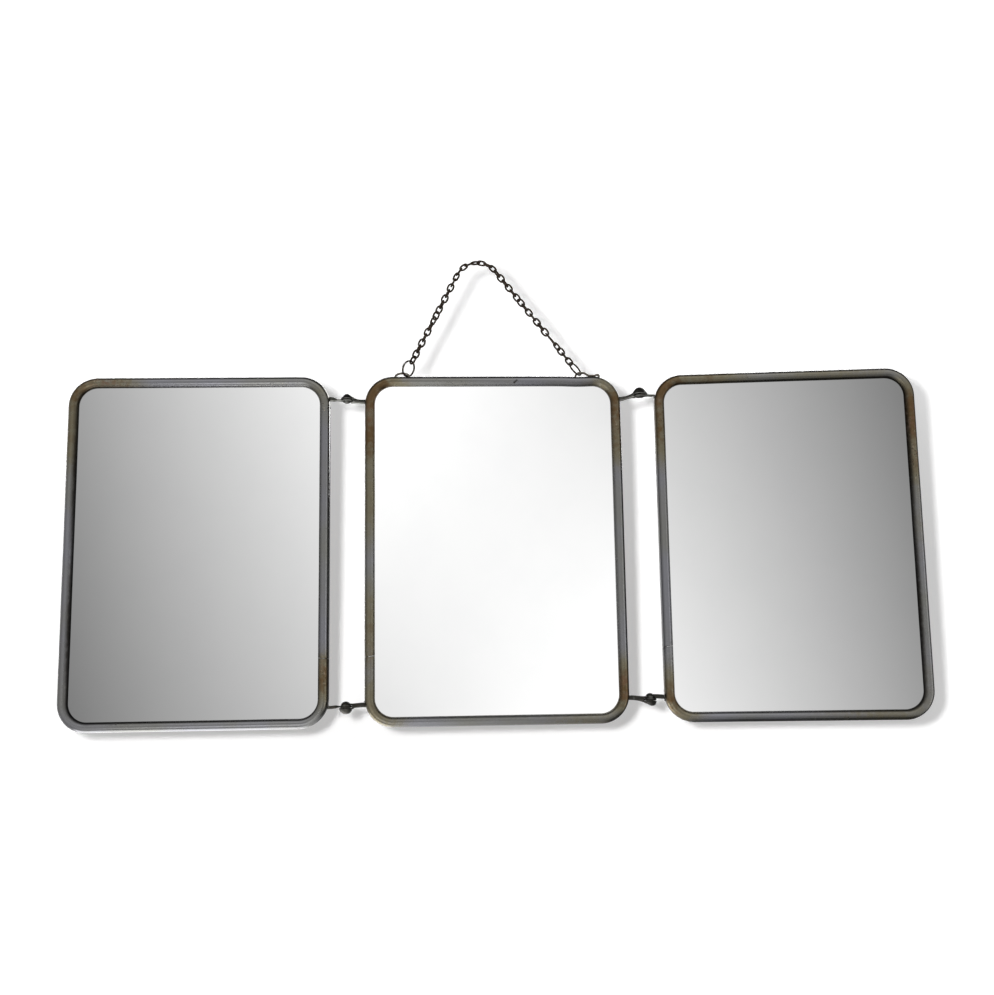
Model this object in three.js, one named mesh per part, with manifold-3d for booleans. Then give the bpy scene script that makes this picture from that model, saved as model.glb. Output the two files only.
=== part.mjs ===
// A barber's folding mirror: three panels in rolled metal rims, joined by riveted
// arms and hung from a peg by a short chain.
// Millimetres. +X right, +Y towards the wall, +Z up. The mirrors face -Y.
// The origin is where the chain rests on its peg.
import * as THREE from "three";
import { mergeVertices } from "three/addons/utils/BufferGeometryUtils.js";
import Module from "manifold-3d";

// Panels
const panelWidth = 200;
const panelHeight = 269;
const cornerRadius = 22;
const beadRadius = 3.85; // half-round front of the rim
const rimSheet = 0.7;
const backBend = 1; // where the side wall turns in to the back lip
const lipWidth = 4.5;
const glassThickness = 3;
const cardThickness = 0.6;
const boardThickness = 2.2;
const boardSideGap = 0.4;
const glassSideGap = 0.5;
const stackGap = 0.2; // between the flat pieces inside a rim
const seamGap = 0.4; // butt joint of the rim's two ends
const seamSlant = 0.12; // how far the joint leans, per millimetre across
const seamHeight = { left: 52, centre: 53, right: 57 }; // above the panel's bottom

// Clearance between pieces that touch or turn on each other
const seatGap = 0.3;

// Hinges: each arm is a strip on edge that twists flat into an eye
const panelGap = 27;
const pivotFromCentrePanel = { left: 14, right: 16 };
const hingeFromEdge = 17.2; // eye's plane, from the top or bottom of a panel
const fittingsDepth = 5.5; // arms and staples, behind the rim's foremost line
const armHeight = 3.6;
const armThickness = 1.8;
const armDrop = 1.6; // the centre arms run this far inside the eye's plane
const tenonHeight = 2.4;
const tenonThickness = 1.4;
const tenonHeadHeight = 3.8;
const tenonHeadThickness = 0.9;
const tenonHeadDepth = 2.8;
const eyeRadius = 4.9;
const eyeThickness = 1.4;
const cupHeight = 3.9;
const cupWall = 1.3;
const rivetRadius = 1.2;
const rivetHeadRadius = 3.5;
const rivetHeadHeight = 2.2;
const rivetNubRadius = 1.9;
const rivetNubHeight = 0.6;
const wingFold = { left: -0.6, right: 6.9 }; // degrees towards the front, as it hangs

// Staples on the centre rim, as places in from the panel's left or right side
const stapleWire = 1.4;
const stapleHeight = 3.9;
const stapleBend = 3.2;
const clenchLength = 4;
const clenchBend = 1.2;
const slackBend = 2.5;
const humpBend = 0.8;
const leftStaple = { outer: 23.4, inner: 34.7 };
const rightStaple = { outer: 16.1, crest: 18, rise: 19.2, foot: 24.4, shoulder: 27.6, inner: 34.6 };
const humpHeight = 2.3;

// Chain
const ringRadius = 6.85;
const ringWire = 1.3;
const ringFromLeg = { left: 3.6, right: 3.8 }; // from the inner leg of its staple
const ringTurn = { left: 49, right: 64 }; // degrees out of the chain's plane
const linkLengthNominal = 7;
const linkWidth = 5.1;
const linkWire = 1;
const linkBite = 0.24; // how far two links of one pair press into each other
const pegRadius = 15.4;
const pegPlace = -11;
const pegHeight = 91; // peg's top above the centre panel

// Facets
const cornerSteps = 6;
const beadSteps = 6;
const innerBeadSteps = 3;
const roundSides = 12;
const wireSides = 6;
const linkSides = 5;
const ringSteps = 16;
const linkEndSteps = 4;
const domeSteps = 4;

const glassFront = beadRadius + stackGap;
const cardFront = glassFront + glassThickness + stackGap;
const boardFront = cardFront + cardThickness + stackGap;
const panelDepth = boardFront + boardThickness + stackGap + rimSheet;
const glassInset = rimSheet + seatGap + Math.max(tenonHeadThickness, stapleWire) + glassSideGap;
const boardInset = rimSheet + boardSideGap;
const rimTop = panelHeight / 2;
const hingeHeight = rimTop - hingeFromEdge;
const rivetHole = rivetRadius + seatGap;

const wasm = await Module();
wasm.setup();

const nickel = new THREE.MeshStandardMaterial({ color: 0x6e6a64, roughness: 0.35, metalness: 1 });
const mirrorGlass = new THREE.MeshStandardMaterial({ color: 0xeef2f2, roughness: 0.03, metalness: 1 });
const grayCard = new THREE.MeshStandardMaterial({ color: 0x8b8378, roughness: 0.95, metalness: 0 });
const brownBoard = new THREE.MeshStandardMaterial({ color: 0x5a4029, roughness: 0.8, metalness: 0 });
const darkSteel = new THREE.MeshStandardMaterial({ color: 0x1f1f1d, roughness: 0.45, metalness: 1 });
const stapleSteel = new THREE.MeshStandardMaterial({ color: 0x4a4338, roughness: 0.5, metalness: 1 });
const chainSteel = new THREE.MeshStandardMaterial({ color: 0x332c26, roughness: 0.45, metalness: 1 });

// Booleans

function toSolid(geometry) {
  const bare = geometry.clone();
  bare.deleteAttribute("normal");
  bare.deleteAttribute("uv");
  const merged = mergeVertices(bare, 1e-4);
  const mesh = new wasm.Mesh({
    numProp: 3,
    vertProperties: merged.attributes.position.array,
    triVerts: new Uint32Array(merged.index.array),
  });
  return new wasm.Manifold(mesh);
}

function toGeometry(solid) {
  const mesh = solid.getMesh();
  const geometry = new THREE.BufferGeometry();
  geometry.setAttribute("position", new THREE.BufferAttribute(mesh.vertProperties, mesh.numProp));
  geometry.setIndex(new THREE.BufferAttribute(mesh.triVerts, 1));
  geometry.computeVertexNormals();
  return geometry;
}

function cut(geometry, cutters) {
  return toGeometry(cutters.reduce((left, cutter) => left.subtract(toSolid(cutter)), toSolid(geometry)));
}

function joined(geometries) {
  return geometries.map(toSolid).reduce((sum, piece) => sum.add(piece));
}

// Curves and skins

function arc(centreX, centreY, radiusX, radiusY, from, to, steps) {
  return Array.from({ length: steps + 1 }, (_, i) => {
    const angle = from + ((to - from) * i) / steps;
    return new THREE.Vector2(centreX + radiusX * Math.cos(angle), centreY + radiusY * Math.sin(angle));
  });
}

// Turns the faces of a closed body round if its volume comes out negative.
function facingOut(geometry) {
  const index = Array.from(geometry.index.array);
  const place = geometry.attributes.position;
  const corner = (i) => new THREE.Vector3().fromBufferAttribute(place, index[i]);
  let sum = 0;
  for (let i = 0; i < index.length; i += 3) {
    sum += corner(i).dot(corner(i + 1).cross(corner(i + 2)));
  }
  if (sum < 0) {
    geometry.setIndex(index.reverse());
  }
  geometry.computeVertexNormals();
  return geometry;
}

// A closed body through rings of points that all follow one outline. A loop joins
// its last ring to its first; any other body is capped with that outline.
function skin(rings, outline, loop = false) {
  const turned = THREE.ShapeUtils.isClockWise(outline);
  const contour = turned ? [...outline].reverse() : outline;
  const layers = turned ? rings.map((ring) => [...ring].reverse()) : rings;
  const count = contour.length;
  const positions = layers.flat().flatMap((point) => [point.x, point.y, point.z]);
  const index = [];
  const spans = loop ? layers.length : layers.length - 1;
  for (let i = 0; i < spans; i += 1) {
    const near = i * count;
    const far = ((i + 1) % layers.length) * count;
    for (let j = 0; j < count; j += 1) {
      const k = (j + 1) % count;
      index.push(near + j, near + k, far + k, near + j, far + k, far + j);
    }
  }
  if (!loop) {
    const last = (layers.length - 1) * count;
    for (const [a, b, c] of THREE.ShapeUtils.triangulateShape(contour, [])) {
      index.push(c, b, a, last + a, last + b, last + c);
    }
  }
  const geometry = new THREE.BufferGeometry();
  geometry.setAttribute("position", new THREE.Float32BufferAttribute(positions, 3));
  geometry.setIndex(index);
  return facingOut(geometry);
}

// A round wire along points that lie in a plane square to "across".
function wire(points, across, radius, sides, loop = false) {
  const outline = arc(0, 0, radius, radius, 0, 2 * Math.PI, sides).slice(0, sides);
  const rings = points.map((point, i) => {
    const before = loop ? points.at(i - 1) : points[Math.max(i - 1, 0)];
    const after = loop ? points[(i + 1) % points.length] : points[Math.min(i + 1, points.length - 1)];
    const along = after.clone().sub(before).normalize();
    const side = along.cross(across).normalize();
    return outline.map((o) => point.clone().addScaledVector(side, o.x).addScaledVector(across, o.y));
  });
  return skin(rings, outline, loop);
}

// Points along straight runs in the XZ plane whose corners are rounded to given radii.
function bentPoints(corners, depth) {
  const points = [];
  corners.forEach(([x, z, radius], i) => {
    const here = new THREE.Vector2(x, z);
    if (!radius) {
      points.push(here);
      return;
    }
    const back = new THREE.Vector2(...corners[i - 1].slice(0, 2)).sub(here).normalize();
    const on = new THREE.Vector2(...corners[i + 1].slice(0, 2)).sub(here).normalize();
    const half = Math.acos(THREE.MathUtils.clamp(back.dot(on), -1, 1)) / 2;
    const centre = here.clone().addScaledVector(back.clone().add(on).normalize(), radius / Math.sin(half));
    const start = here.clone().addScaledVector(back, radius / Math.tan(half)).sub(centre);
    const turn = Math.sign(back.cross(on)) * (Math.PI - 2 * half);
    const steps = Math.max(2, Math.round(Math.abs(turn) / 0.4));
    for (let step = 0; step <= steps; step += 1) {
      const spoke = start.clone().rotateAround(new THREE.Vector2(), (-turn * step) / steps);
      points.push(centre.clone().add(spoke));
    }
  });
  return points.map((point) => new THREE.Vector3(point.x, depth, point.y));
}

// Panels

// The rim's section as inset from the panel's outside and depth from its front.
function rimSection() {
  const inside = beadRadius - rimSheet;
  return [
    new THREE.Vector2(lipWidth, panelDepth),
    ...arc(backBend, panelDepth - backBend, backBend, backBend, Math.PI / 2, Math.PI, 2),
    ...arc(beadRadius, beadRadius, beadRadius, beadRadius, Math.PI, 2 * Math.PI, beadSteps),
    ...arc(beadRadius, beadRadius, inside, inside, 2 * Math.PI, Math.PI, innerBeadSteps),
    new THREE.Vector2(rimSheet, panelDepth - rimSheet),
    new THREE.Vector2(lipWidth, panelDepth - rimSheet),
  ];
}

// Stations round the panel's outside from one side of the seam to the other, each
// with its outward direction. "side" is +1 for a seam on the right side.
function rimStations(side, seamZ) {
  const halfWidth = panelWidth / 2 - cornerRadius;
  const halfHeight = panelHeight / 2 - cornerRadius;
  const seamAt = (z, slant) => ({ x: side * halfWidth + side * cornerRadius, z, out: [side, 0], slant });
  const stations = [seamAt(seamZ + seamGap / 2, seamSlant)];
  const turns = [
    [side, 1],
    [-side, 1],
    [-side, -1],
    [side, -1],
  ];
  turns.forEach(([signX, signZ], i) => {
    for (let step = 0; step <= cornerSteps; step += 1) {
      const angle = (Math.PI / 2) * (step / cornerSteps);
      const lead = i % 2 === 0 ? Math.cos(angle) : Math.sin(angle);
      const rise = i % 2 === 0 ? Math.sin(angle) : Math.cos(angle);
      const out = [signX * lead, signZ * rise];
      const x = signX * halfWidth + cornerRadius * out[0];
      const z = signZ * halfHeight + cornerRadius * out[1];
      stations.push({ x, z, out, slant: 0 });
    }
  });
  stations.push(seamAt(seamZ - seamGap / 2, seamSlant));
  return stations;
}

function rimGeometry(side, seamZ, cutters) {
  const section = rimSection();
  const rings = rimStations(side, seamZ).map(({ x, z, out, slant }) =>
    section.map(
      (point) =>
        new THREE.Vector3(
          x - out[0] * point.x,
          point.y,
          z - out[1] * point.x + slant * (point.x - beadRadius),
        ),
    ),
  );
  return cut(skin(rings, section), cutters);
}

// A flat sheet of the panel's outline, drawn in by "inset".
function sheetGeometry(inset, front, thickness) {
  const x = panelWidth / 2 - inset;
  const z = panelHeight / 2 - inset;
  const r = cornerRadius - inset;
  const outline = [
    ...arc(x - r, z - r, r, r, 0, Math.PI / 2, cornerSteps),
    ...arc(r - x, z - r, r, r, Math.PI / 2, Math.PI, cornerSteps),
    ...arc(r - x, r - z, r, r, Math.PI, 1.5 * Math.PI, cornerSteps),
    ...arc(x - r, r - z, r, r, 1.5 * Math.PI, 2 * Math.PI, cornerSteps),
  ];
  const geometry = new THREE.ExtrudeGeometry(new THREE.Shape(outline), {
    depth: thickness,
    bevelEnabled: false,
  });
  geometry.rotateX(Math.PI / 2);
  geometry.translate(0, front + thickness, 0);
  return geometry;
}

// How far a panel's side has drawn in at a height near its rounded corner, and how
// much it leans there.
function sideAt(height) {
  const past = Math.max(0, Math.abs(height) - (panelHeight / 2 - cornerRadius));
  const rest = Math.sqrt(cornerRadius ** 2 - past ** 2);
  return { inset: cornerRadius - rest, lean: past / rest };
}

// Slot in a rim's side wall for an arm's tenon, on one side at a height of the panel.
function tenonSlot(side, z) {
  const slot = new THREE.BoxGeometry(
    4 * rimSheet,
    tenonThickness + 2 * seatGap,
    tenonHeight + 2 * seatGap,
  );
  slot.translate(side * (panelWidth / 2 - sideAt(z).inset), fittingsDepth, z);
  return slot;
}

// The legs of the staples pass through the rim at these places across it.
const staplePlaces = {
  left: (inset) => inset - panelWidth / 2,
  right: (inset) => panelWidth / 2 - inset,
};

function legHole(x) {
  const radius = stapleWire / 2 + seatGap;
  const hole = new THREE.CylinderGeometry(radius, radius, 4 * rimSheet, roundSides);
  hole.rotateX(Math.PI / 2);
  hole.translate(x, fittingsDepth, rimTop - cornerDrop(x));
  return hole;
}

function mesh(name, geometry, material) {
  const piece = new THREE.Mesh(geometry, material.clone());
  piece.name = name;
  return piece;
}

// One panel about its own middle, its front at y = 0. "seamSide" and "armSides" are
// signs along X. Every rim's seam lies on a side that faces a hinge.
function panel(name, seamSide, armSides, extraCutters = []) {
  const slots = armSides.flatMap((side) =>
    [1, -1].map((up) => tenonSlot(side, up * tenonLevel(name))),
  );
  const seamZ = seamHeight[name] - rimTop;
  const group = new THREE.Group();
  group.add(
    mesh(`rim_${name}`, rimGeometry(seamSide, seamZ, [...slots, ...extraCutters]), nickel),
    mesh(`mirror_${name}`, sheetGeometry(glassInset, glassFront, glassThickness), mirrorGlass),
    mesh(`packing_card_${name}`, sheetGeometry(glassInset, cardFront, cardThickness), grayCard),
    mesh(`backboard_${name}`, sheetGeometry(boardInset, boardFront, boardThickness), brownBoard),
  );
  return group;
}

// Hinges

// Height at which a panel's arms pass through its rim.
function tenonLevel(name) {
  return name === "centre" ? hingeHeight - armDrop : hingeHeight;
}

function section(halfThickness, halfHeight) {
  const sides = 10;
  const squareness = 0.6;
  return arc(0, 0, 1, 1, 0, 2 * Math.PI, sides)
    .slice(0, sides)
    .map(
      ({ x, y }) =>
        new THREE.Vector2(
          halfThickness * Math.sign(x) * Math.abs(x) ** squareness,
          halfHeight * Math.sign(y) * Math.abs(y) ** squareness,
        ),
    );
}

// An arm from its riveted end inside the rim's wall to its eye. The pivot is at x = 0
// and the rim's wall at x = reach. "turns" are the sections between wall and eye:
// share of the way to the wall, half thickness, half height and height of the middle.
function armStrip(reach, drop, turns) {
  const wall = sideAt(hingeHeight - drop);
  const wallOutside = reach + wall.inset;
  const wallInside = wallOutside + rimSheet + seatGap + (wall.lean * tenonHeadHeight) / 2;
  const shoulder = wallOutside - seatGap - (wall.lean * armHeight) / 2;
  const stations = [
    [wallInside + tenonHeadThickness, tenonHeadDepth / 2, tenonHeadHeight / 2, -drop],
    [wallInside, tenonHeadDepth / 2, tenonHeadHeight / 2, -drop],
    [wallInside, tenonThickness / 2, tenonHeight / 2, -drop],
    [shoulder, tenonThickness / 2, tenonHeight / 2, -drop],
    [shoulder, armThickness / 2, armHeight / 2, -drop],
    ...turns.map(([share, thick, high, middle]) => [
      THREE.MathUtils.lerp(eyeRadius, shoulder, share),
      thick,
      high,
      middle,
    ]),
  ];
  const rings = stations.map(([x, thick, high, middle]) =>
    section(thick, high).map((point) => new THREE.Vector3(x, point.x, middle + point.y)),
  );
  return skin(rings, section(1, 1));
}

function rivetBore() {
  const bore = new THREE.CylinderGeometry(rivetHole, rivetHole, 6 * cupHeight, roundSides);
  bore.rotateX(Math.PI / 2);
  return bore;
}

// A turned body about Z whose profile, of radius and height, starts and ends on the axis.
function turned(profile) {
  const geometry = new THREE.LatheGeometry(profile, roundSides);
  geometry.rotateX(Math.PI / 2);
  return facingOut(geometry);
}

const eyeTop = eyeThickness / 2;
const cupBase = eyeTop + seatGap;
const cupTop = cupBase + cupHeight;

// The centre panel's arm ends in a dished eye that caps the joint.
function centreArm(reach) {
  const skirt = 0.6;
  const crown = cupHeight - skirt;
  const shape = (radius, height, base) =>
    arc(0, base, radius, height, 0, Math.PI / 2, domeSteps).map(
      ({ x, y }) => new THREE.Vector2(x < 1e-6 ? 0 : x, y),
    );
  const innerRadius = eyeRadius - cupWall;
  const domed = (radius, height, floor) =>
    turned([
      new THREE.Vector2(0, floor),
      new THREE.Vector2(radius, floor),
      ...shape(radius, height, cupBase + skirt),
    ]);
  const cup = cut(domed(eyeRadius, crown, cupBase), [
    domed(innerRadius, crown - cupWall, cupBase - cupWall),
  ]);
  const wall = eyeRadius - cupWall / 2;
  const strip = armStrip(reach, armDrop, [
    [0.55, armThickness / 2, armHeight / 2, -armDrop],
    [0.3, 1.3, 1.6, -1.1],
    [0.12, 2, 1.3, 0.5],
    [-0.03, 2.5, 1.1, cupBase + 1.4],
    [(wall - eyeRadius - 0.3) / (reach - eyeRadius), 2.2, 0.8, cupBase + 1.9],
  ]);
  return toGeometry(joined([cup, strip]).subtract(toSolid(rivetBore())));
}

// A wing's arm ends in a flat eye that turns under the dished one.
function wingArm(reach) {
  const radius = eyeRadius - seatGap;
  const flat = eyeThickness / 2;
  const chamfer = 0.3;
  const disc = turned([
    new THREE.Vector2(0, -flat),
    new THREE.Vector2(radius - chamfer, -flat),
    new THREE.Vector2(radius, chamfer - flat),
    new THREE.Vector2(radius, flat - chamfer),
    new THREE.Vector2(radius - chamfer, flat),
    new THREE.Vector2(0, flat),
  ]);
  const strip = armStrip(reach, 0, [
    [0.6, armThickness / 2, armHeight / 2, 0],
    [0.4, 1.3, 1.3, 0],
    [0.2, 2, 0.9, 0],
    [0.08, 2.6, flat - 0.02, 0],
    [-0.3, 3, flat - 0.04, 0],
  ]);
  return toGeometry(joined([disc, strip]).subtract(toSolid(rivetBore())));
}

function rivetGeometry() {
  const seat = -eyeTop - seatGap;
  const nubBase = cupTop + stackGap;
  const head = arc(0, seat, rivetHeadRadius, rivetHeadHeight, -Math.PI / 2, 0, domeSteps);
  const nub = arc(0, nubBase, rivetNubRadius, rivetNubHeight, 0, Math.PI / 2, 2);
  const shank = [seat, nubBase].map((z) => new THREE.Vector2(rivetRadius, z));
  const profile = [...head, ...shank, ...nub];
  return turned(profile.map(({ x, y }) => new THREE.Vector2(x < 1e-6 ? 0 : x, y)));
}

// Puts a hinge piece, drawn with its dome up and its rim towards +X, at a top or
// bottom hinge ("up") with its rim towards "side".
function atHinge(piece, up, side) {
  piece.rotation.set(up > 0 ? 0 : Math.PI, 0, side > 0 ? 0 : Math.PI);
  piece.position.z = up * hingeHeight;
  return piece;
}

const levels = [
  ["top", 1],
  ["bottom", -1],
];
const wings = [
  ["left", -1],
  ["right", 1],
];

// Staples

function stapleGeometry(corners) {
  return wire(bentPoints(corners, fittingsDepth), new THREE.Vector3(0, 1, 0), stapleWire / 2, wireSides);
}

const stapleLine = rimTop + stapleHeight - stapleWire / 2;
const clenchLine = rimTop - rimSheet - seatGap - stapleWire / 2;
const wireOnRim = rimTop + seatGap + stapleWire / 2;

// How far the rim's rounded corner has dropped below its top at a place across it.
function cornerDrop(x) {
  const past = Math.max(0, Math.abs(x) - (panelWidth / 2 - cornerRadius));
  return cornerRadius - Math.sqrt(cornerRadius ** 2 - past ** 2);
}

// A staple's leg from the end of its clench inside the rim to where it comes out.
function clench(x, length) {
  return [
    [x + length, clenchLine - cornerDrop(x + length)],
    [x, clenchLine - cornerDrop(x), clenchBend],
  ];
}

function leftStapleGeometry() {
  const at = staplePlaces.left;
  return stapleGeometry([
    ...clench(at(leftStaple.outer), clenchLength),
    [at(leftStaple.outer), stapleLine, stapleBend],
    [at(leftStaple.inner), stapleLine, stapleBend],
    ...clench(at(leftStaple.inner), -clenchLength).reverse(),
  ]);
}

// The right staple's outer end runs along the rim, humps up and goes in further out.
function rightStapleGeometry() {
  const hump = rimTop + humpHeight - stapleWire / 2;
  const at = staplePlaces.right;
  return stapleGeometry([
    ...clench(at(rightStaple.inner), clenchLength),
    [at(rightStaple.inner), stapleLine, stapleBend],
    [at(rightStaple.shoulder), stapleLine, slackBend],
    [at(rightStaple.foot), wireOnRim, slackBend],
    [at(rightStaple.rise), wireOnRim, humpBend],
    [at(rightStaple.crest), hump, humpBend],
    [at(rightStaple.outer), hump, humpBend],
    ...clench(at(rightStaple.outer), -clenchLength).reverse(),
  ]);
}

// Chain

const ringLine = stapleLine - stapleWire / 2 - seatGap - ringWire / 2;
const ringSpan = 2 * ringRadius - ringWire;
const pegCentre = new THREE.Vector2(pegPlace, rimTop + pegHeight - pegRadius);
const drapeRadius = pegRadius + linkWidth / 2;

// Where the chain leaves a ring's foot for the peg: the pull's direction and the
// point and angle at which it meets the circle it is draped on.
function run(side) {
  const leg = side === "left" ? leftStaple.inner : rightStaple.inner;
  const foot = new THREE.Vector2(staplePlaces[side](leg - ringFromLeg[side]), ringLine);
  const toPeg = pegCentre.clone().sub(foot);
  const lift = Math.asin(drapeRadius / toPeg.length()) * (side === "left" ? 1 : -1);
  const pull = toPeg.clone().normalize().rotateAround(new THREE.Vector2(), lift);
  const length = Math.sqrt(toPeg.lengthSq() - drapeRadius ** 2);
  const touch = foot.clone().addScaledVector(pull, length);
  return { foot, pull, length, angle: touch.sub(pegCentre).angle() };
}

const leftRun = run("left");
const rightRun = run("right");
const drapeAngle = leftRun.angle - rightRun.angle;
const leftStraight = leftRun.length - ringSpan;
const rightStraight = rightRun.length - ringSpan;
const chainLength = leftStraight + drapeRadius * drapeAngle + rightStraight;

// The place and direction of the chain's middle line, measured from the left ring.
function chainAt(distance) {
  if (distance < leftStraight) {
    const place = leftRun.foot.clone().addScaledVector(leftRun.pull, ringSpan + distance);
    return { place, along: leftRun.pull.clone() };
  }
  if (distance > chainLength - rightStraight) {
    const left = ringSpan + chainLength - distance;
    const place = rightRun.foot.clone().addScaledVector(rightRun.pull, left);
    return { place, along: rightRun.pull.clone().negate() };
  }
  const angle = leftRun.angle - (distance - leftStraight) / drapeRadius;
  const spoke = new THREE.Vector2(Math.cos(angle), Math.sin(angle));
  return {
    place: pegCentre.clone().addScaledVector(spoke, drapeRadius),
    along: new THREE.Vector2(spoke.y, -spoke.x),
  };
}

// Axes of a link or ring: X along the chain, Y across the opening, turned out of the
// chain's plane by "turn".
function frameAt(place, along, turn) {
  const alongAxis = new THREE.Vector3(along.x, 0, along.y);
  const depthAxis = new THREE.Vector3(0, 1, 0);
  const flatAxis = new THREE.Vector3().crossVectors(depthAxis, alongAxis);
  const across = flatAxis.multiplyScalar(Math.cos(turn)).addScaledVector(depthAxis, Math.sin(turn));
  const through = new THREE.Vector3().crossVectors(alongAxis, across);
  return new THREE.Matrix4()
    .makeBasis(alongAxis, across, through)
    .setPosition(place.x, fittingsDepth, place.y);
}

// A link lies in its XY plane: two half circles and two straight sides.
function linkGeometry(length) {
  const bend = (linkWidth - linkWire) / 2;
  const straight = (length - linkWidth) / 2;
  const quarter = Math.PI / 2;
  const points = [
    ...arc(straight, 0, bend, bend, -quarter, quarter, linkEndSteps),
    ...arc(-straight, 0, bend, bend, quarter, 3 * quarter, linkEndSteps),
  ].map((point) => new THREE.Vector3(point.x, point.y, 0));
  return wire(points, new THREE.Vector3(0, 0, 1), linkWire / 2, linkSides, true);
}

// Pairs of links, each pair hooked together. The count follows the chain's length and
// the links are drawn out or in a little to fill it.
function chainPairs() {
  const pairs = Math.round(chainLength / (2 * (linkLengthNominal - 2 * linkWire)));
  const count = 2 * pairs;
  const slack = (pairs - 1) * seatGap - pairs * linkBite + 2 * seatGap + ringWire;
  const length = (chainLength + slack + 2 * count * linkWire) / count;
  const pitch = length - 2 * linkWire;
  const quarterTurn = 90;
  const halfTurn = 2 * quarterTurn;
  const firstTurn = ringTurn.left - quarterTurn;
  const lastTurn = halfTurn * Math.round((firstTurn + quarterTurn * (count - 1)) / halfTurn);
  const twist = (lastTurn - firstTurn) / (count - 1);
  const link = linkGeometry(length);
  let distance = length / 2 - linkWire - ringWire / 2 - seatGap;
  const nodes = [];
  for (let pair = 0; pair < pairs; pair += 1) {
    const placed = [0, 1].map((second) => {
      const number = 2 * pair + second;
      const { place, along } = chainAt(distance);
      distance += second ? pitch - seatGap : pitch + linkBite;
      const turn = THREE.MathUtils.degToRad(firstTurn + twist * number);
      return link.clone().applyMatrix4(frameAt(place, along, turn));
    });
    const label = [2 * pair + 1, 2 * pair + 2].map((n) => String(n).padStart(2, "0")).join("_");
    nodes.push(mesh(`chain_links_${label}`, toGeometry(joined(placed)), chainSteel));
  }
  return nodes;
}

function endRing(side, from) {
  const ring = mesh(
    `end_ring_${side}`,
    new THREE.TorusGeometry(ringRadius - ringWire / 2, ringWire / 2, wireSides, ringSteps),
    chainSteel,
  );
  const centre = from.foot.clone().addScaledVector(from.pull, ringSpan / 2);
  const turn = THREE.MathUtils.degToRad(ringTurn[side]);
  ring.applyMatrix4(frameAt(centre, from.pull, turn));
  return ring;
}

// Assembly

const mirror = new THREE.Group();
mirror.position.set(-pegPlace, -fittingsDepth, -(rimTop + pegHeight));

const legs = [
  ...[leftStaple.outer, leftStaple.inner].map(staplePlaces.left),
  ...[rightStaple.outer, rightStaple.inner].map(staplePlaces.right),
];
const centrePanel = panel("centre", -1, [-1, 1], legs.map(legHole));
centrePanel.add(
  mesh("staple_left", leftStapleGeometry(), stapleSteel),
  mesh("staple_right", rightStapleGeometry(), stapleSteel),
);
mirror.add(centrePanel);

for (const [name, side] of wings) {
  const fromCentre = pivotFromCentrePanel[name];
  const fromWing = panelGap - fromCentre;
  const hinge = new THREE.Group();
  hinge.position.set(side * (panelWidth / 2 + fromCentre), fittingsDepth, 0);
  const wing = new THREE.Group();
  wing.rotation.z = THREE.MathUtils.degToRad(-side * wingFold[name]);
  const wingPanel = panel(name, -side, [-side]);
  wingPanel.position.set(side * (fromWing + panelWidth / 2), -fittingsDepth, 0);
  wing.add(wingPanel);
  for (const [level, up] of levels) {
    const place = `${level}_${name}`;
    hinge.add(
      atHinge(mesh(`arm_centre_${place}`, centreArm(fromCentre), darkSteel), up, -side),
      atHinge(mesh(`pivot_rivet_${place}`, rivetGeometry(), darkSteel), up, side),
    );
    wing.add(atHinge(mesh(`arm_wing_${place}`, wingArm(fromWing), darkSteel), up, side));
  }
  hinge.add(wing);
  mirror.add(hinge);
}

mirror.add(endRing("left", leftRun), endRing("right", rightRun), ...chainPairs());

export default mirror;
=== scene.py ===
"""A barber's folding mirror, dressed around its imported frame.

Metres, +X right, +Y towards the wall, +Z up. Lengths are named in millimetres and
turned into metres by MM where a mesh is made.
"""

from math import acos, asin, atan2, copysign, cos, exp, hypot, pi, radians, sin, sqrt, tan

import bmesh
import bpy
import numpy as np
from mathutils import Matrix, Vector, noise


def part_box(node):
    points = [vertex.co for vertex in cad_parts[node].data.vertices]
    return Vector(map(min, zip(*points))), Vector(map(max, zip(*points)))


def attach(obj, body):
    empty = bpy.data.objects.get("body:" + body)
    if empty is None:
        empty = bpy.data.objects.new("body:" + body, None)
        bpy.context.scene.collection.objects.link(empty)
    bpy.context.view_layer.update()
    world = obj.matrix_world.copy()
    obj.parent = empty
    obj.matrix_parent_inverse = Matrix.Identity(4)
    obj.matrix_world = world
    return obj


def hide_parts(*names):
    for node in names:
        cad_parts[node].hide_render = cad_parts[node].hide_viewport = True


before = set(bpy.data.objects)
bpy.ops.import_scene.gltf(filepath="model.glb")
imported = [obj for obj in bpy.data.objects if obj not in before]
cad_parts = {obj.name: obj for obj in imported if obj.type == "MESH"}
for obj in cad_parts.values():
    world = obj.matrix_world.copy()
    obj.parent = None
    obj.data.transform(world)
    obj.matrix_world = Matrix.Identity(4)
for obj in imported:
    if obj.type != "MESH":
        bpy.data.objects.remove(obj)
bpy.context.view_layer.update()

MM = 0.001

# Camera, as fitted to the edges of the three panels
CAMERA_PLACE = (-30.40, -843.04, -305.68)
CAMERA_YAW = -0.0513
CAMERA_PITCH = 0.1401
CAMERA_ROLL = 0.0155
FOCAL_PIXELS = 1100
PHOTO_HEIGHT = 995
SENSOR = 36

# Panels
CORNER_RADIUS = 22
BEAD_RADIUS = 3.85
RIM_SHEET = 0.7
BACK_BEND = 1
LIP_WIDTH = 4.5
SEAM_GAP = 0.2
SEAM_STAIN = 0.5
SEAM_SLANT = 0.12
SEAM_HEIGHT = {"left": 52, "centre": 53, "right": 57}
SEAT_GAP = 0.3
CLOSE_GAP = 0.12
FRONT_WEAR = 0.03
RING_RUB = 0.45
RING_RUB_REACH = 9
RING_FROM_STAPLE = 1.3
RIM_WAVE = 0.07
RIM_WAVE_LENGTH = 26

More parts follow.
